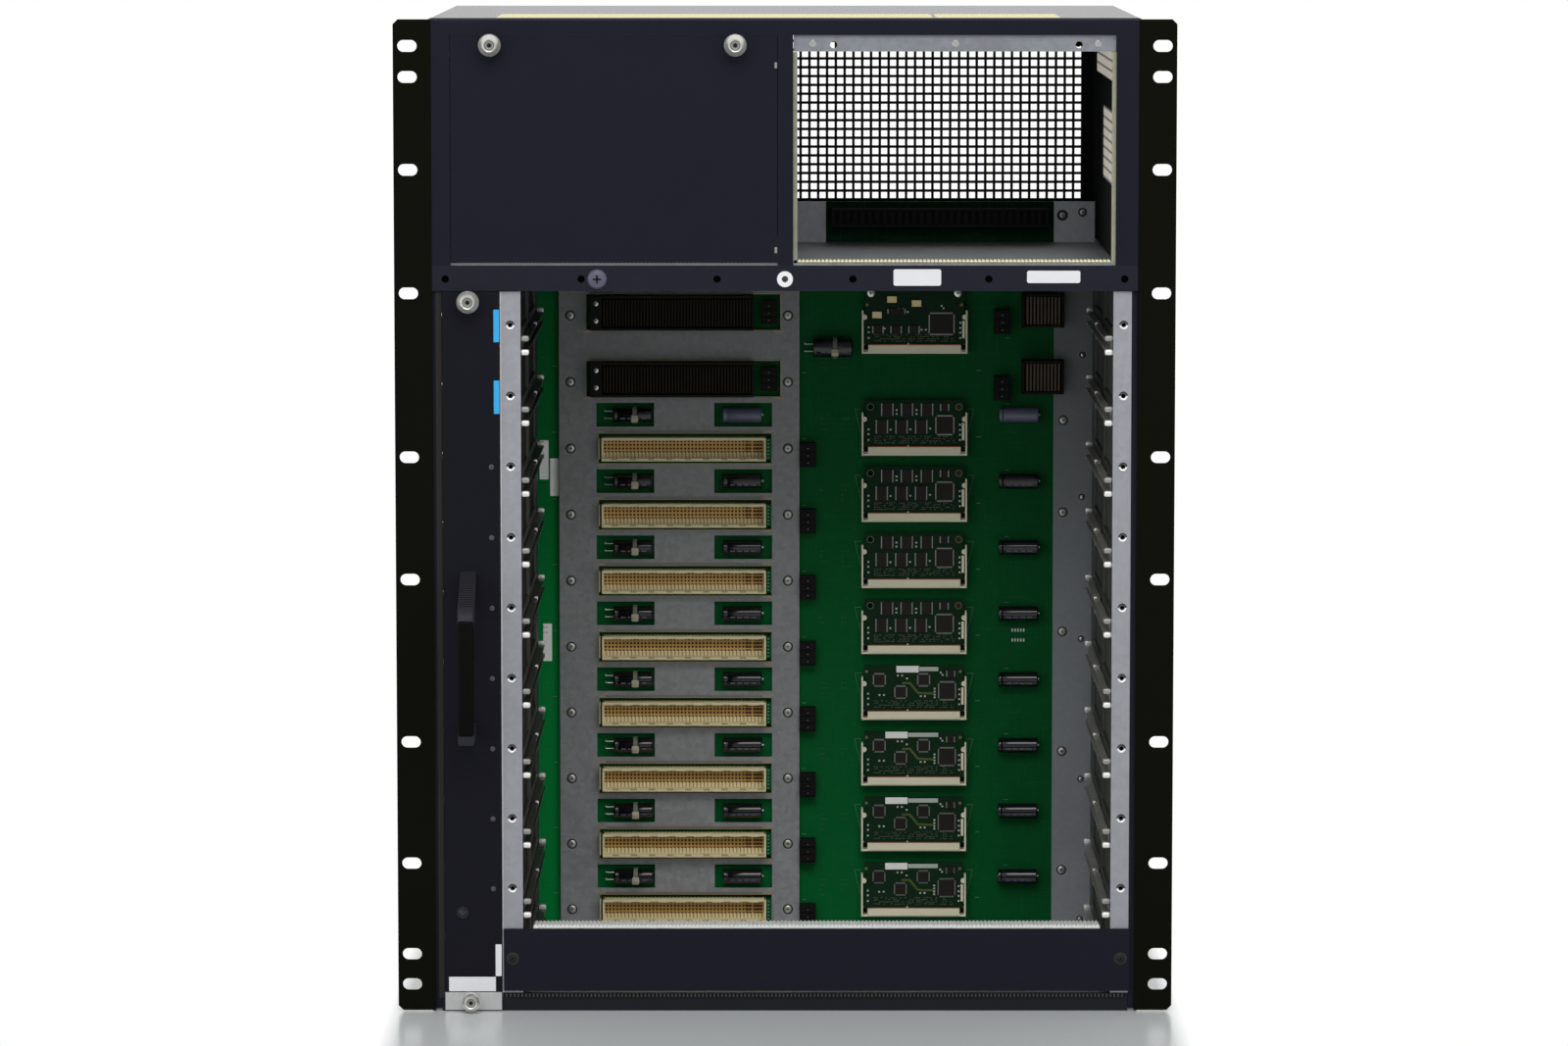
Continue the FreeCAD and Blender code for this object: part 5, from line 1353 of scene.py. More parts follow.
@dataclass
class Backplane:
    """The board, the stiffener, its screws and window rims, and what is printed on the board."""

    screw_columns: Pair = (-141.6, 2.0)
    strip_column: float = 184.0
    small_column: float = 196.5
    strip_screws: tuple[float, ...] = (346.5, 285.4, 205.9, 125.8, 46.1)
    tall_window_right: float = -2.4
    small_screws: tuple[float, ...] = (389.8, 295.5, 201.0, 107.1, 13.1)
    window: float = 10.4
    line: float = 0.6
    labels: tuple[tuple[Pair, Pair], ...] = (
        ((-162.4, -156.4), (307.0, 333.0)), ((-155.4, -149.6), (296.0, 321.0)),
        ((-160.4, -154.6), (186.0, 211.0)),
    )

    def build(self) -> None:
        """Dresses the board and stiffener and adds the small parts."""
        dress(BOARD, "backplane_board")
        dress(STIFFENER_ZINC, "backplane_stiffener")
        self.screws()
        self.rims()
        self.print()

    def screws(self) -> None:
        """Adds the stiffener's screws and those of the right strip."""
        form = Form()
        strip = BOARD_FACE - 1.5
        columns = [(x, 0, z - HEADER_DROP) for x in self.screw_columns for z in slot_heights()]
        large = [(self.strip_column, 0, z) for z in self.strip_screws]
        small = [(self.small_column, 0, z) for z in self.small_screws]
        for screw, face, places in (
            (Screw(2.5, 0.7, PLATE_SCREW, ring=0.9), PLATE_FACE, columns),
            (Screw(2.5, 0.8, PLATE_SCREW, ring=0.8), strip, large),
            (Screw(1.5, 0.9, ring=0.7), strip, small),
        ):
            form.stamp(screw.draw(form, face), places)
        form.done("backplane_screws", Slot.SCREW)

    def rims(self) -> None:
        """Adds the pale cut edges round the header windows."""
        form = Form()
        self.line_rims(form)
        self.tall_rims(form)
        form.done("window_rims", Slot.STIFFENER)

    def line_rims(self, form: Form) -> None:
        """Adds the edges, corner notches and shields of the eight line card windows."""
        headers = cad("line_card_connectors").x
        half = self.window
        left, right = headers[0] - 2.6, headers[1] + 4.2
        part = form.part()
        part.border((left, right), (PLATE_FACE - 0.06, PLATE_FACE + 1.5), (-half, half), self.line, RIM)
        for x in ((left - 0.4, left + 5.0), (right - 6.5, right + 0.4)):
            for z in ((half, half + 1.0), (-half - 1.0, -half)):
                part.block(x, (PLATE_FACE - 0.1, PLATE_FACE + 0.2), z, RIM)
        shield = (headers[0] + 2.0, headers[1] - 2.4)
        part.block(shield, (PLATE_FACE - 0.6, PLATE_FACE + 0.1), (half + 0.1, half + 1.3), SHIELD, 0.15)
        form.stamp(part, [(0, 0, height - HEADER_DROP) for height in slot_heights()[2:]])

    def tall_rims(self, form: Form) -> None:
        """Adds the edges and lower notches of the two supervisor windows."""
        tall = cad("supervisor_connectors")
        depth = (PLATE_FACE - 0.06, PLATE_FACE + 1.5)
        half = (tall.z[1] - tall.z[0] - slot_pitch()) / 2 + 1.1
        left, right = tall.x[0] - 3.2, self.tall_window_right
        part = form.part()
        for z in ((half - self.line, half), (-half, self.line - half)):
            part.block((left, right), depth, z, RIM)
        part.block((right - self.line, right), depth, (-half, half), RIM)
        for x in ((left - 1.6, left + 4.0), (right - 5.0, right + 1.6)):
            part.block(x, (PLATE_FACE - 0.1, PLATE_FACE + 0.2), (-half - 1.0, -half), RIM)
        form.stamp(part, [(0, 0, middle(tall.z) + side * slot_pitch() / 2) for side in (-1, 1)])

    def print(self) -> None:
        """Adds blank labels, pads and printed outlines to the board."""
        form = Form()
        depth = (BOARD_FACE - 0.15, BOARD_FACE)
        for across, height in self.labels:
            form.label(across, depth, height, BOARD_LABEL, 0.6)
        for column in range(5):
            for row in range(2):
                x, z = 150.4 + column * 1.9, 199.0 + row * 6.6
                form.block((x, x + 0.9), depth, (z, z + 2.0), SOLDER)
        self.pads(form, depth)
        sockets = cad("module_sockets")
        for height in slot_heights()[2:]:
            self.outline(form, sockets.x, height, depth)
        form.done("board_print", Slot.BOARD)

    def pads(self, form: Form, depth: Pair) -> None:
        """Adds small test pads and printed marks beside every slot."""
        pad = form.part()
        pad.block((-0.35, 0.35), depth, (-0.35, 0.35), PAD_DULL)
        mark = form.part()
        mark.block((-1.4, 1.4), depth, (-0.2, 0.2), SILK)
        picker = random.Random(5)
        pads, marks = [], []
        for height in slot_heights()[1:]:
            for left in (24.0, 38.0, 118.0, -160.0):
                for row in range(picker.randint(2, 4)):
                    up = height + 6.0 - row * 3.4
                    pads += [(left + step * 1.9, 0, up) for step in range(picker.randint(1, 3))]
            for x, up in ((147.0, 15.8), (128.0, -6.0), (12.6, -7.4), (-152.4, -3.0)):
                marks.append((x, 0, height + up))
        form.stamp(pad, pads)
        form.stamp(mark, marks)

    def outline(self, form: Form, across: Pair, height: float, depth: Pair) -> None:
        """Adds the printed line outside each arm of a socket."""
        for edge, side in ((across[0], -1), (across[1], 1)):
            near, far = edge + side * 0.6, edge + side * 4.4
            top = height + 12.4
            low = top - 16.0
            for shape in (
                [(edge, top), (far, top), (far, top + 0.25), (edge, top + 0.25)],
                [(far, top), (far + 0.25, top), (near + 0.25, low), (near, low)],
            ):
                form.slab(shape, depth, SILK)


@dataclass
class LineHeaders:
    """Eight cream headers with castellated walls and pins on their floor."""

    wall: float = 1.9
    teeth: int = 9
    floor: float = 8.5

    def build(self) -> None:
        """Makes all headers."""
        box = cad("line_card_connectors")
        lines = slot_heights()[2:]
        half = (box.z[1] - box.z[0] - slot_pitch() * (len(lines) - 1)) / 2
        form = Form()
        part = form.part()
        part.block(box.x, (box.y[0] + self.floor, box.y[1]), (-half, half), PINS)
        self.edges(part, box, half)
        self.walls(part, box, half)
        self.castle(part, box, half)
        form.stamp(part, [(0, 0, height - HEADER_DROP) for height in lines])
        form.done("line_headers", Slot.CREAM, "line_card_connectors")

    def walls(self, part: Form, box: Box, half: float) -> None:
        """Adds one header's four walls, half of it on each side of height zero."""
        (left, right), front = box.x, box.y[0]
        floor = front + self.floor
        for height in ((half - self.wall, half), (-half, self.wall - half)):
            part.block(box.x, (front + 1.2, floor + 0.5), height, CREAM, 0.12)
        for across in ((left, left + self.wall * 0.7), (right - self.wall * 0.7, right)):
            part.block(across, (front + 0.6, floor), (-half, half), CREAM, 0.12)

    def castle(self, part: Form, box: Box, half: float) -> None:
        """Adds the teeth along the upper and lower wall."""
        front = box.y[0]
        step = (box.x[1] - box.x[0]) / self.teeth
        for x in (box.x[0] + step * number for number in range(self.teeth)):
            last = x + step - 0.25
            for across, depth, height in (
                ((x + 0.25, x + step * 0.62), (front, front + 1.3), (half - self.wall, half)),
                ((x + step * 0.66, last), (front + 0.5, front + 1.3), (half - self.wall * 0.75, half)),
                ((x + 0.25, last), (front, front + 1.3), (-half, self.wall - half)),
            ):
                part.block(across, depth, height, CREAM, 0.15)
            peg = (self.wall * 0.45 - half, self.wall * 1.05 - half)
            part.block((x + step * 0.55, x + step * 0.9), (front - 0.05, front + 1.0), peg, PEG, 0.05)

    def edges(self, part: Form, box: Box, half: float) -> None:
        """Adds the board's edge with its pins on the right and the tongue on the left."""
        (left, right), front = box.x, box.y[0]
        green = (right + 0.3, right + 3.4)
        part.block(green, (front + 5.0, BOARD_FACE), (0.8 - half, half - 0.8), EDGE_GREEN)
        pin = part.part()
        pin.block((right + 1.2, right + 1.8), (front + 4.4, front + 5.2), (-0.25, 0.25), SOLDER)
        part.stamp(pin, [(0, 0, z) for z in spread(2.0 - half, half - 2.0, 6)])
        part.block((left - 1.9, left - 1.2), (front + 3.0, BOARD_FACE), (1.0 - half, half - 1.0), CREAM)


@dataclass
class TallHeaders:
    """The dark ribbed headers of the supervisor slots, with their end blocks and side headers."""

    ribs: int = 48
    end: float = 8.0
    rise: float = 2.2
    floor: float = 7.5
    depth: float = 8.0
    block_half: float = 7.9

    def build(self) -> None:
        """Makes the wide, the narrow headers and the power blocks."""
        self.wide()
        self.narrow()
        self.blocks()

    def wide(self) -> None:
        """Makes the two wide headers."""
        box = cad("supervisor_connectors")
        half = (box.z[1] - box.z[0] - slot_pitch()) / 2
        form = Form()
        part = form.part()
        left, right = box.x
        inner = left + self.end
        front, back = box.y
        part.block((left, inner), (front, back), (-half, half), BLACK, 0.3)
        # The floor behind the ribs is near black: painted shade.
        part.block((inner, right), (front + self.floor, back), (-half, half), RECESS_SHADOW)
        for x, z in (
            ((inner, right), (half - 1.6, half)), ((inner, right), (-half, 1.6 - half)),
            ((right - 1.4, right), (1.6 - half, half - 1.6)),
        ):
            part.block(x, (front, front + self.depth), z, BLACK, 0.2)
        screw = Screw(1.7, 0.6).draw(part, front)
        part.stamp(screw, [(left + self.end * 0.5, 0, half * share) for share in (0.55, -0.45)])
        rib = part.part()
        rib.block((-0.45, 0.45), (front + 1.4, front + 7.6), (2.4 - half, half - 2.4), OLIVE)
        part.row(rib, inner + 1.4, right - 2.6, self.ribs)
        form.stamp(part, [(0, 0, height - HEADER_DROP + self.rise) for height in slot_heights()[:2]])
        form.done("tall_headers", Slot.BLACK, "supervisor_connectors")

    def narrow(self) -> None:
        """Makes the two side headers with columns of brown contacts."""
        box = cad("redundancy_connectors")
        half = (box.z[1] - box.z[0] - slot_pitch()) / 2
        form = Form()
        part = form.part()
        left, right = box.x
        front, back = box.y
        part.block(box.x, (front + self.floor, back), (-half, half), BLACK)
        part.border(box.x, (front, front + self.depth), (-half, half), 1.5, BLACK, 0.2)
        rib = part.part()
        rib.block((-0.6, 0.6), (front + 0.8, front + 7.6), (2.0 - half, half - 2.0), BROWN_RIB)
        part.row(rib, left + 3.4, right - 3.4, 10)
        low = box.z[0] + half
        form.stamp(part, [(0, 0, low), (0, 0, low + slot_pitch())])
        form.done("side_headers", Slot.BLACK, "redundancy_connectors")

    def blocks(self) -> None:
        """Makes the three-pole power blocks."""
        form = Form()
        part = form.part()
        half = self.block_half
        front = BOARD_FACE - 10.0
        part.block((0, 10.6), (front + 1.0, BOARD_FACE), (-half, half), BLACK, 0.25)
        for number in range(3):
            z = -half + 1.0 + number * 4.8
            part.block((1.0, 9.6), (front, front + 1.2), (z, z + 4.0), BLACK, 0.3)
            # Near-black pole holes: painted shade.
            part.block((3.2, 7.4), (front - 0.04, front + 0.3), (z + 1.2, z + 2.8), RECESS_SHADOW)
            part.block((4.4, 6.2), (front - 0.08, front + 0.3), (z + 1.6, z + 2.1), POLE_GLINT)
        heights = slot_heights()
        places = [(9.9, 0, height - 17.4) for height in heights[2:]]
        for height in heights[:2]:
            centre = height - HEADER_DROP + self.rise
            places += [(-15.8, 0, centre), (138.0, 0, centre - 6.2)]
        form.stamp(part, places)
        form.done("pole_blocks", Slot.BLACK, "power_blocks")


@dataclass
class Capacitors:
    """Radial capacitors that lie flat, some held by a nylon tie."""

    rise: float = 9.0
    radius: float = 5.0
    length: float = 26.0
    main_radius: float = 6.4
    lefts: tuple[float, ...] = (-113.6, -41.2, 141.6)
    main: Pair = (18.6, 394.8)

    def build(self) -> None:
        """Makes every capacitor and tie."""
        form = Form()
        ties = Form()
        heights = [height + self.rise for height in slot_heights()[2:]]
        tied = [(self.lefts[0], 0, z) for z in heights]
        main = [(self.main[0], 0, self.main[1])]
        blue = [(x, 0, heights[0]) for x in self.lefts[1:]]
        loose = [(x, 0, z) for x in self.lefts[1:] for z in heights[1:]]
        for radius, nubs, sleeve, places in (
            (self.radius, False, SLEEVE, tied), (self.radius, True, BLUE_SLEEVE, blue),
            (self.radius, True, SLEEVE, loose), (self.main_radius, False, SLEEVE, main),
        ):
            form.stamp(self.can(form, radius, nubs, sleeve), places)
        for radius, places in ((self.radius, tied), (self.main_radius, main)):
            ties.stamp(self.tie(ties, radius), [(x + self.length / 2, y, z) for x, y, z in places])
        form.done("board_capacitors", Slot.SLEEVE, "bulk_capacitors")
        ties.done("capacitor_ties", Slot.CREAM)

    def can(self, form: Form, radius: float, nubs: bool, sleeve: Finish) -> Form:
        """Makes one capacitor from its left end at the origin."""
        part = form.part()
        centre = (BOARD_FACE - radius, 0)
        end = self.length
        steps = [
            (1.0, 0.3), (0.9, 0), (0.3, 0.05), (0, 0.6), (0, 2.2), (0.35, 2.8), (0.35, 3.2), (0, 3.8),
            (0, end - 0.8), (0.5, end - 0.1), (1.0, end), (1.2, end - 0.3),
        ]
        outline = [(0, 0.3), *((radius - inward, place) for inward, place in steps), (0, end - 0.3)]
        part.turned(centre, outline, sleeve, 28, axis="X")
        part.rod("x", (0.02, 0.35), centre, radius - 1.0, BLACK, 24)
        part.rod("x", (end - 0.35, end - 0.2), centre, radius - 1.3, STEEL, 24)
        tilt = math.radians(20)
        y = BOARD_FACE - radius - math.cos(tilt) * (radius + 0.02)
        z = -math.sin(tilt) * radius
        for x in spread(5.0, 18.8, 4):
            part.block((x, x + 3.2), (y, y + 0.2), (z - 0.7, z + 0.7), SLEEVE_PRINT)
        if nubs:
            part.rod("x", (end - 0.4, end + 1.0), (BOARD_FACE - radius * 0.9, 0.2), 0.8, SOLDER, 10)
            return part
        for z in (-2.4, 2.4):
            part.rod("x", (-5.4, 0.2), (BOARD_FACE - radius * 0.72, z), 0.3, SOLDER, 8)
            part.rod("y", (BOARD_FACE - radius * 0.72, BOARD_FACE), (-5.4, z), 0.3, SOLDER, 8)
            part.boss((-5.4, z), BOARD_FACE, [(0, -0.4), (0.4, -0.3), (0.7, 0), (0, 0)], DULL_SOLDER, 12)
        return part

    def tie(self, form: Form, radius: float) -> Form:
        """Makes one tie round a capacitor with its head on the lower front."""
        part = form.part()
        axis = BOARD_FACE - radius
        outer = radius + 0.75
        strap = [(outer, 0.0), (outer, 2.8), (radius + 0.1, 2.8), (radius + 0.1, 0.0), (outer, 0.0)]
        part.turned((axis, 0), strap, NYLON_STRAP, 28, axis="X")
        low = -radius * 0.42
        front = axis - math.sqrt(outer ** 2 - low ** 2)
        part.block((-0.9, 3.7), (front - 1.9, front + 1.4), (low - 2.3, low + 2.3), NYLON, 0.35)
        part.block((-0.1, 2.9), (front - 3.2, front - 1.8), (low - 0.5, low + 0.7), NYLON, 0.2)
        return part


# ---- small modules


@dataclass(frozen=True)
class Chip:
    """A chip on a module: its place from the socket's corner, its size and where its legs are."""

    left: float
    bottom: float
    wide: float
    tall: float
    all_sides: bool = False
    body: Finish = CHIP


@dataclass
class Modules:
    """The nine small plug-in modules and their edge sockets."""

    bar: float = 5.8
    board_thickness: float = 1.2
    shoulder: float = 4.2
    arm: float = 1.2
    arm_height: float = 28.6
    drop: float = 17.8
    clock_bottom: float = 391.0
    trace: tuple[Pair, ...] = (
        (27.0, 25.2), (32.6, 25.2), (38.0, 18.6), (48.0, 18.2), (48.0, 16.8), (37.4, 17.2), (31.8, 23.8),
        (27.0, 23.8),
    )
    upper: tuple[Chip, ...] = (
        *(Chip(left, 26.0, 6.6, 8.8) for left in (13.6, 26.6, 39.8)), Chip(52.4, 29.4, 4.6, 5.2),
        *(Chip(left, 14.2, 6.6, 9.6) for left in (10.0, 23.0, 36.0)), Chip(49.4, 14.4, 11.0, 11.4, True),
    )
    lower: tuple[Chip, ...] = (
        *(Chip(*corner, 7.0, 7.0, True) for corner in ((8.4, 23.2), (37.8, 23.2), (22.6, 15.0))),
        Chip(51.6, 14.0, 10.4, 10.8, True), Chip(57.0, 28.6, 4.4, 4.6),
    )
    clock: tuple[Chip, ...] = (
        Chip(44.8, 13.2, 15.6, 13.0, True), *(Chip(left, 13.0, 6.0, 5.6) for left in (7.6, 19.6, 31.4)),
        Chip(17.6, 26.0, 10.4, 3.8),
        *(
            Chip(*corner, 6.4, 4.4, False, CRYSTAL_CAN)
            for corner in ((6.8, 23.4), (16.6, 33.6), (32.8, 31.0))
        ),
    )

    def build(self) -> None:
        """Makes the sockets and the three kinds of module."""
        bottoms = [height - self.drop for height in slot_heights()[2:]]
        box = cad("module_sockets")
        sockets = Form()
        socket = sockets.part()
        self.socket(socket, box)
        sockets.stamp(socket, [(0, 0, bottom) for bottom in bottoms + [self.clock_bottom]])
        sockets.done("edge_sockets", Slot.CREAM, "module_sockets")
        for name, node, chips, where in (
            ("memory_modules", "upper_slot_modules", self.upper, bottoms[:4]),
            ("logic_modules", "lower_slot_modules", self.lower, bottoms[4:]),
        ):
            board = cad(node)
            form = Form()
            part = form.part()
            tall = board.z[1] - board.z[0] - slot_pitch() * 3
            self.board(part, board, tall)
            for chip in chips:
                self.chip(part, chip, box.x[0], board.y[1] - self.board_thickness)
            self.passives(part, box.x[0], board.y[1] - self.board_thickness, name == "memory_modules")
            form.stamp(part, [(0, 0, bottom) for bottom in where])
            if name == "logic_modules":
                self.labels(form, box.x[0], board.y[1] - self.board_thickness, where)
            form.done(name, Slot.BOARD, node)
        self.clock_board(box)

    def socket(self, form: Form, box: Box) -> None:
        """Makes one socket from its bottom at height zero."""
        left, right = box.x
        front, back = box.y
        inner = (left + self.shoulder, right - self.shoulder)
        form.block(inner, (front, back), (0.6, self.bar), SOCKET_CREAM, 0.2)
        form.block((left, right), (front + 0.6, back), (0, 1.4), SOCKET_CREAM, 0.15)
        contacts = (self.bar - 0.1, self.bar + 0.35)
        form.block((left + 4.4, right - 4.4), (front - 0.03, front + 2.0), contacts, COPPER)
        centre = middle(box.x) - 4.2
        key = [(centre - 0.9, self.bar), (centre + 0.9, self.bar), (centre, self.bar + 1.5)]
        form.slab(key, (front, front + 1.5), SOCKET_CREAM)
        for edge, side in ((left, 1), (right, -1)):
            arm = beside(edge, side, 0, self.arm)
            form.block(arm, (front, back), (0, self.arm_height), SOCKET_CREAM, 0.2)
            hook = form.part()
            hook.rod("y", (front, front + 1.6), (0, 0), 1.7, SOCKET_CREAM, 16)
            form.stamp(hook, [(edge + side * (self.arm + 0.6), 0, 24.2)])
            slot = beside(edge, side, self.arm, self.shoulder)
            form.block(slot, (front + 3.2, back), (1.4, self.bar), SOCKET_CREAM)
            # Near black inside the slot: painted shade.
            form.block(slot, (front + 1.0, front + 3.3), (2.6, self.bar - 0.2), RECESS_SHADOW)

    def board(self, form: Form, box: Box, tall: float) -> None:
        """Makes a module's bare board."""
        low = self.bar - 2.4
        form.block(box.x, (box.y[1] - self.board_thickness, box.y[1]), (low, low + tall), MODULE_BOARD, 0.12)

    def chip(self, form: Form, chip: Chip, corner: float, face: float) -> None:
        """Adds a chip with its legs to a board's front face."""
        left = corner + chip.left
        x = (left, left + chip.wide)
        z = (chip.bottom, chip.bottom + chip.tall)
        form.block(x, (face - 1.2, face - 0.1), z, chip.body, 0.15)
        if chip.body is CRYSTAL_CAN:
            return
        inset = 0.35
        for edge, side in ((x[0], -1), (x[1], 1)):
            across = beside(edge, side, 0, 0.75)
            form.block(across, (face - 0.5, face), (z[0] + inset, z[1] - inset), SIDE_LEGS)
        if chip.all_sides:
            for edge, side in ((z[0], -1), (z[1], 1)):
                up = beside(edge, side, 0, 1.0)
                form.block((x[0] + inset, x[1] - inset), (face - 0.5, face), up, END_LEGS)

    def passives(self, form: Form, corner: float, face: float, memory: bool) -> None:
        """Adds small parts in rows and columns, the hole rings and the strip at the right arm."""
        picker = random.Random(7 if memory else 11)
        chip = form.part()
        chip.block((-0.42, 0.42), (face - 0.4, face), (-0.24, 0.24), DULL_SOLDER)
        chip.block((-0.2, 0.2), (face - 0.45, face), (-0.26, 0.26), CHIP)
        places = []
        for row in (8.4, 9.8, 11.2, 12.6):
            for place in spread(9.0, 61.0, 34):
                if picker.random() < 0.62:
                    across = corner + place + picker.uniform(-0.3, 0.3)
                    places.append((across, 0, row + picker.uniform(-0.2, 0.2)))
        form.stamp(chip, places)
        bright = form.part()
        bright.block((-0.6, 0.6), (face - 0.6, face), (-0.55, 0.55), PASSIVE_WHITE, 0.08)
        spots = [(4.5, z) for z in (10.4, 14.2, 17.4)] + [(64.9, z) for z in (10.4, 13.8, 17.0, 20.4)]
        if memory:
            spots += [(x, z) for x in (23.1, 36.2) for z in (27.6, 30.2)]
            spots += [(19.1, 17.2), (32.2, 17.4), (45.2, 18.0)]
        else:
            spots += [(24.2, 29.6), (27.0, 29.6), (12.0, 16.6), (15.0, 16.6), (39.4, 15.8), (42.2, 15.8)]
            spots += [(48.6, z) for z in (15.0, 16.8, 18.8, 20.8)]
            spots += [(30.2, 27.6), (52.6, 31.6), (53.8, 30.0)]
        form.stamp(bright, [(corner + x, 0, z) for x, z in spots])
        if memory:
            # The dark hole is painted shade.
            radius, holes = 1.9, ((5.8, RECESS_SHADOW), (64.2, HOLE_BROWN))
        else:
            radius, holes = 0.6, ((3.4, COPPER), (65.6, COPPER))
        for x, finish in holes:
            form.disc((corner + x, 32.2), radius, face, 0.05, finish)
            ring = [(radius, 0), (radius, -0.08), (radius + 0.4, -0.08), (radius + 0.4, 0)]
            form.boss((corner + x, 32.2), face, ring, SILK, 20)
        form.block((corner + 66.2, corner + 67.9), (face - 0.9, face), (10.2, 21.6), SOCKET_CREAM, 0.15)

    def labels(self, form: Form, corner: float, face: float, bottoms: Sequence[float]) -> None:
        """Adds the blank label, the printed strip and the broad trace of the logic modules."""
        for number, bottom in enumerate(sorted(bottoms, reverse=True)):
            start = 23.2 if number == 0 else 16.0
            for (left, right), thick, (low, high), finish, bevel in (
                ((start, start + 14.8), 0.25, (31.6, 36.0), BOARD_LABEL, 0.05),
                ((start + 15.2, 51.0), 0.15, (32.5, 35.3), STRIP_PRINT, 0.03),
            ):
                across = (corner + left, corner + right)
                form.block(across, (face - thick, face - 0.02), (bottom + low, bottom + high), finish, bevel)
            form.slab([(corner + x, bottom + z) for x, z in self.trace], (face - 0.05, face), TRACE)

    def clock_board(self, box: Box) -> None:
        """Makes the taller module with its screws, crystals and chips."""
        board = cad("clock_module")
        form = Form()
        part = form.part()
        self.board(part, board, board.z[1] - board.z[0])
        face = board.y[1] - self.board_thickness
        corner = box.x[0]
        for chip in self.clock:
            self.chip(part, chip, corner, face)
        self.passives(part, corner, face, False)
        screw = Screw(3.0, 1.4).draw(part, face)
        part.stamp(screw, [(corner + 6.0, 0, 40.0), (corner + 63.4, 0, 40.0)])
        form.stamp(part, [(0, 0, self.clock_bottom)])
        form.done("clock_card", Slot.BOARD, "clock_module")


# ---- fan tray


@dataclass
class ThumbScrew:
    """A captive knurled thumbscrew with a slotted, dished face."""

    node: str
    body: Body
    teeth: int = 44
    knob: float = 8.4
    neck: float = 12.0

    def build(self) -> None:
        """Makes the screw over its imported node."""
        box = cad(self.node)
        centre = (middle(box.x), middle(box.z))
        radius = (box.x[1] - box.x[0]) / 2
        front, tip = box.y[0], box.y[1] - box.y[0]
        dish = [
            (0, 1.4), (radius * 0.3, 1.35), (radius * 0.34, 0.9), (radius * 0.44, 0.9), (radius * 0.5, 0.3),
            (radius * 0.58, 0), (radius * 0.88, 2.2), (radius * 0.95, 3.2),
        ]
        back = [(radius * 0.95, self.knob - 0.9), (radius * 0.9, self.knob), (radius * 0.66, self.knob)]
        shank = [(radius * 0.66, self.neck), (2.0, self.neck), (2.0, tip - 0.4), (1.6, tip), (0, tip)]
        form = Form()
        form.boss(centre, front, dish + back + shank, KNOB_STEEL, 44)
        self.knurl(form, centre, front, radius)
        # A darker steel disc, a groove ring and a dark hexagon on the knob's face: painted shade for its
        # recesses.
        form.rod("y", (front + 1.3, front + 1.6), centre, radius * 0.28, KNOB_RECESS_SHADE, 24)
        form.rod("y", (front + 1.2, front + 1.6), centre, radius * 0.19, RECESS_PAINTED_SHADE, 6)
        inner, outer = radius * 0.34, radius * 0.45
        groove = [(inner, 0.92), (inner, 0.8), (outer, 0.75), (outer, 0.92)]
        form.boss(centre, front, groove, KNOB_RECESS_SHADE, 32)
        form.done(f"{self.node}_knob", Slot.SCREW, self.node, body=self.body)

    def knurl(self, form: Form, centre: Pair, front: float, radius: float) -> None:
        """Adds the teeth round the knob."""
        depth = (front + 3.4, front + self.knob - 1.0)
        for number in range(self.teeth):
            turn = Matrix.Rotation(math.tau * number / self.teeth, 3, "Y")
            tooth = form.part()
            tooth.block((-0.26, 0.26), depth, (radius * 0.9, radius), KNOB_STEEL, 0.1)
            bmesh.ops.rotate(tooth.mesh, cent=(0, 0, 0), matrix=turn, verts=tooth.mesh.verts)
            form.stamp(tooth, [(centre[0], 0, centre[1])])


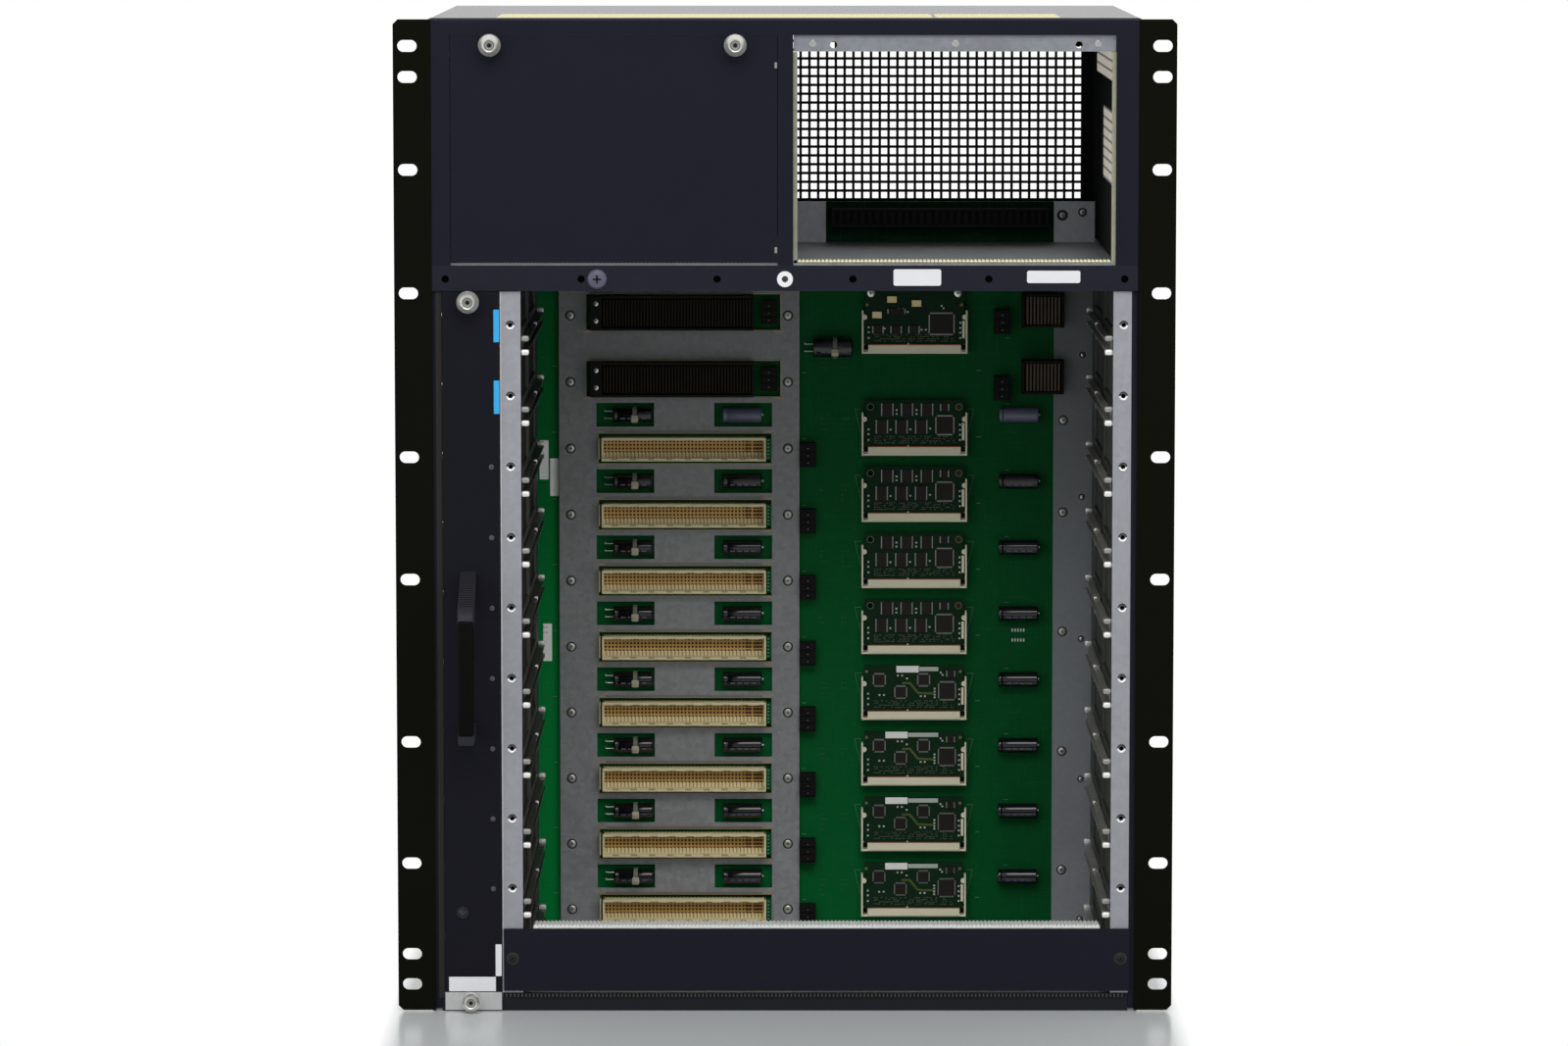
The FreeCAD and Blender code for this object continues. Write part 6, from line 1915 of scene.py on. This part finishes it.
@dataclass
class FanTray:
    """The tray's panel marks, handle and screws."""

    tab_width: float = 3.5
    tabs: tuple[Pair, ...] = ((418.8, 438.9), (374.3, 395.0))
    white_tab: Pair = (22.2, 42.2)
    lamp: Pair = (-201.0, 62.4)
    grooves: int = 16

    def build(self) -> None:
        """Dresses the tray and makes its small parts."""
        dress(TRAY_NAVY, "fan_tray_panel")
        # Above the foot the frame and rails are near black: painted shade.
        dress(FOOT_ZINC_SHADE_ABOVE, "fan_tray_frame", "tray_rails")
        dress(BLACK, "fan_tray_plug", "fan_tray_socket", "fan_housings")
        dress(BLACK, *(f"fan_rotor_{number}" for number in range(1, 7)))
        self.marks()
        self.handle()
        ThumbScrew("tray_thumbscrew_top", Body.TRAY_KNOB_TOP).build()
        ThumbScrew("tray_thumbscrew_bottom", Body.TRAY_KNOB_BOTTOM).build()

    def marks(self) -> None:
        """Adds the tabs, slot dots, lamp and blank label."""
        panel = cad("fan_tray_panel")
        face = panel.y[0]
        form = Form()
        right = panel.x[1] + 0.2
        for height in self.tabs:
            form.block((right - self.tab_width, right), (face - 0.2, face), height, BLUE_TAB, 0.08)
        form.block((right - 4.0, right - 0.2), (face - 0.2, face), self.white_tab, WHITE_LABEL, 0.08)
        dot = form.part()
        dot.boss((0, 0), face, [(0, -0.15), (1.2, -0.15), (1.6, 0), (0, 0)], GROUND_ROW, 16)
        form.stamp(dot, [(panel.x[1] - 5.0, 0, height) for height in slot_heights()[2:9]])
        form.boss(self.lamp, face, [(2.4, 0), (2.4, -0.6), (3.6, -0.6), (3.8, 0)], LED_RING, 24)
        form.boss(self.lamp, face, [(0, -0.5), (1.6, -0.4), (2.4, 0), (0, 0)], LED_LENS, 20)
        foot = cad("fan_tray_frame")
        form.block((-209.7, -180.5), (foot.y[0] - 0.2, foot.y[0]), (12.6, 21.7), WHITE_LABEL, 0.08)
        form.done("tray_marks", Slot.PAINT, body=Body.TRAY)

    def handle(self) -> None:
        """Makes the pull handle with its ribbed upper foot and rounded grip."""
        box = cad("fan_tray_handle")
        form = Form()
        face = box.y[1]
        front = box.y[0]
        left, right = box.x
        top, bottom = box.z[1], box.z[0]
        bar = 10.0
        upper = [
            (face, top), (face - 33, top - 21), (front + 2, top - 24), (front, top - 30),
            (front + bar, top - 34), (face, top - 15),
        ]
        # The ribbed upper foot, lighter grey as painted light.
        form.slab(upper, (left, right), HANDLE_FEET_LIT_GREY, normal="X", bevel=0.8)
        # The grooves on the upper foot are thin dark bars: painted shade.
        groove = form.part()
        groove.block((left + 0.8, right - 0.8), (-0.3, 0.5), (-0.28, 0.28), RECESS_PAINTED_SHADE)
        grooves = spread(0.06, 0.9, self.grooves)
        form.stamp(groove, [(0, face - 33 * share, top - 21 * share) for share in grooves])
        form.block((left, right), (front, front + bar), (bottom + 6, top - 27), HANDLE_BLACK, 1.6, 3)
        # The lower foot, lighter grey as painted light.
        form.block((left, right), (front + 1.0, face), (bottom, bottom + bar), HANDLE_FEET_LIT_GREY, 1.2, 2)
        form.done("pull_handle", Slot.BLACK, "fan_tray_handle", body=Body.TRAY)


# ---- removable panels


@dataclass
class Panels:
    """The bay cover and the slot blank."""

    def build(self) -> None:
        """Dresses both panels and adds their screws and contact strip."""
        dress(NAVY, "bay_cover", "slot_blank")
        ThumbScrew("cover_thumbscrew_left", Body.COVER_KNOB_LEFT).build()
        ThumbScrew("cover_thumbscrew_right", Body.COVER_KNOB_RIGHT).build()
        self.cover_marks()
        self.blank_strip()
        self.blank_screws()

    def cover_marks(self) -> None:
        """Adds two small bright marks on the cover's right edge."""
        box = cad("bay_cover")
        form = Form()
        for low in (box.z[1] - 20.0, box.z[0] + 6.0):
            depth = (box.y[0] - 0.12, box.y[0])
            form.block((box.x[1] - 1.7, box.x[1] - 0.2), depth, (low, low + 3.6), GUIDE_SOFT, 0.04)
        form.done("cover_bright_marks", Slot.PAINT, body=Body.COVER)

    def blank_strip(self) -> None:
        """Makes the bright beaded strip along the blank's upper edge."""
        box = cad("blank_gasket")
        form = Form()
        form.block(box.x, box.y, (box.z[0], box.z[0] + 1.4), PALE_CONTACT, 0.1)
        bead = form.part()
        bead.rod("y", (box.y[0] - 0.3, box.y[1] - 2.0), (0, box.z[0] + 1.5), 1.0, PALE_CONTACT, 8)
        form.beads(bead, box.x)
        form.done("blank_contact", Slot.CONTACT, "blank_gasket", body=Body.BLANK)

    def blank_screws(self) -> None:
        """Adds the two dark screws of the blank."""
        panel = cad("slot_blank")
        form = Form()
        head = Screw(3.0, 1.2, CHIP, ring=0.9).draw(form, panel.y[0])
        height = slot_heights()[-1]
        form.stamp(head, [(panel.x[0] + 5.6, 0, height), (panel.x[1] - 5.6, 0, height)])
        form.done("blank_screws", Slot.SCREW, body=Body.BLANK)


# ---- studio


@dataclass
class Studio:
    """Floor, light and camera; lengths are in metres where nothing else is said."""

    distance: float = 3.95
    eye: float = 0.72
    tilt: float = 5.976
    lens: float = 147.14
    aside: float = -0.0006
    front_level: float = 0.42
    back_level: float = 1.0
    fade_across: Pair = (237.0, 247.0)  # where the floor turns plain white, in millimetres
    fade_along: Pair = (320.0, 400.0)
    floor_half: float = 6.0
    # Grey of the floor round the object: painted shade for its shadow and reflection there.
    floor_shade_colour: Colour = (0.56, 0.59, 0.59)
    floor_gloss: float = 0.22
    key_power: float = 46.0
    fill_power: float = 14.0

    def build(self) -> None:
        """Makes the floor, world, lamps and camera."""
        self.floor()
        self.world()
        self.lamps()
        self.camera()

    def floor(self) -> None:
        """Makes a slightly glossy floor that keeps the object's shadow: grey round the object as painted
        shade for its shadow and reflection, and plain white to the camera beyond.
        """
        form = bmesh.new()
        bmesh.ops.create_grid(form, x_segments=1, y_segments=1, size=self.floor_half)
        data = bpy.data.meshes.new("floor")
        form.to_mesh(data)
        form.free()
        floor = bpy.data.objects.new("floor", data)
        bpy.context.scene.collection.objects.link(floor)
        shader = Shader("floor")
        shader.set(Base_Color=self.floor_shade_colour, Roughness=self.floor_gloss, Specular_IOR_Level=0.5)
        x, y, _ = shader.axes()
        aside = shader.ramp(x.size(), *self.fade_across)
        along = shader.ramp(y.size(), *self.fade_along)
        outside = aside.either(along)
        glow = shader.value("ShaderNodeEmission", inputs={"Color": WHITE, "Strength": 1.0})
        surface = Value(shader, shader.surface.outputs[0])
        inputs = {0: outside * shader.seen(), 1: surface, 2: glow}
        shader.feed(shader.output.inputs[0], shader.value("ShaderNodeMixShader", inputs=inputs))
        data.materials.append(shader.material)

    def world(self) -> None:
        """Lights the object plainly, dimmer from the front, and shows white to the camera."""
        world = bpy.data.worlds.new("studio")
        world.use_nodes = True
        bpy.context.scene.world = world
        nodes = Nodes(world.node_tree)
        ray = nodes.value("ShaderNodeTexCoord", output="Generated")
        back = nodes.value("ShaderNodeSeparateXYZ", inputs={0: ray}, output="Y")
        level = nodes.ramp(back, -0.4, 0.5, self.front_level, self.back_level)
        strength = nodes.value("ShaderNodeMix", inputs={0: nodes.seen(), 2: level, 3: 1.0})
        background = nodes.tree.nodes["Background"].inputs
        nodes.feed(background["Strength"], strength)
        nodes.feed(background["Color"], WHITE)

    def lamps(self) -> None:
        """Adds a large lamp above the front and a fill on each side."""
        self.lamp("key", (0.0, -1.9, 2.3), 0.25, (2.4, 1.6), self.key_power)
        for name, across in (("left_fill", -2.2), ("right_fill", 2.2)):
            self.lamp(name, (across, -2.2, 1.0), 0.3, (1.4, 1.8), self.fill_power)

    def lamp(self, name: str, place: Sequence[float], aim_height: float, size: Pair, power: float) -> None:
        """Adds one rectangular lamp aimed at a height on the object's middle line."""
        data = bpy.data.lights.new(name, "AREA")
        data.shape = "RECTANGLE"
        data.size, data.size_y = size
        data.energy = power
        lamp = bpy.data.objects.new(name, data)
        lamp.location = place
        aim = Vector((0.0, 0.0, aim_height)) - Vector(place)
        lamp.rotation_euler = aim.to_track_quat("-Z", "Y").to_euler()
        bpy.context.scene.collection.objects.link(lamp)

    def camera(self) -> None:
        """Adds the camera at the viewing angle."""
        data = bpy.data.cameras.new("camera")
        data.lens = self.lens
        data.sensor_width = 36.0
        camera = bpy.data.objects.new("camera", data)
        front = cad("front_frame").y[0] * MM
        camera.location = (self.aside, front - self.distance, self.eye)
        camera.rotation_euler = (math.radians(90 - self.tilt), 0, 0)
        bpy.context.scene.collection.objects.link(camera)
        bpy.context.scene.camera = camera
        bpy.context.scene.view_settings.view_transform = "Standard"


def record_sizes() -> None:
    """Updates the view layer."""
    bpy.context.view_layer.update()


def main() -> None:
    """Builds every sub-assembly, then the studio."""
    logging.basicConfig(level=logging.INFO, format="%(message)s")
    for assembly in (
        Shell(), RearSheet(), PowerBays(), CardGuides(), Backplane(), LineHeaders(), TallHeaders(),
        Capacitors(), Modules(), FanTray(), Panels(), Studio(),
    ):
        assembly.build()
        LOG.info("built %s", type(assembly).__name__)
    record_sizes()


if __name__ == "__main__":
    main()
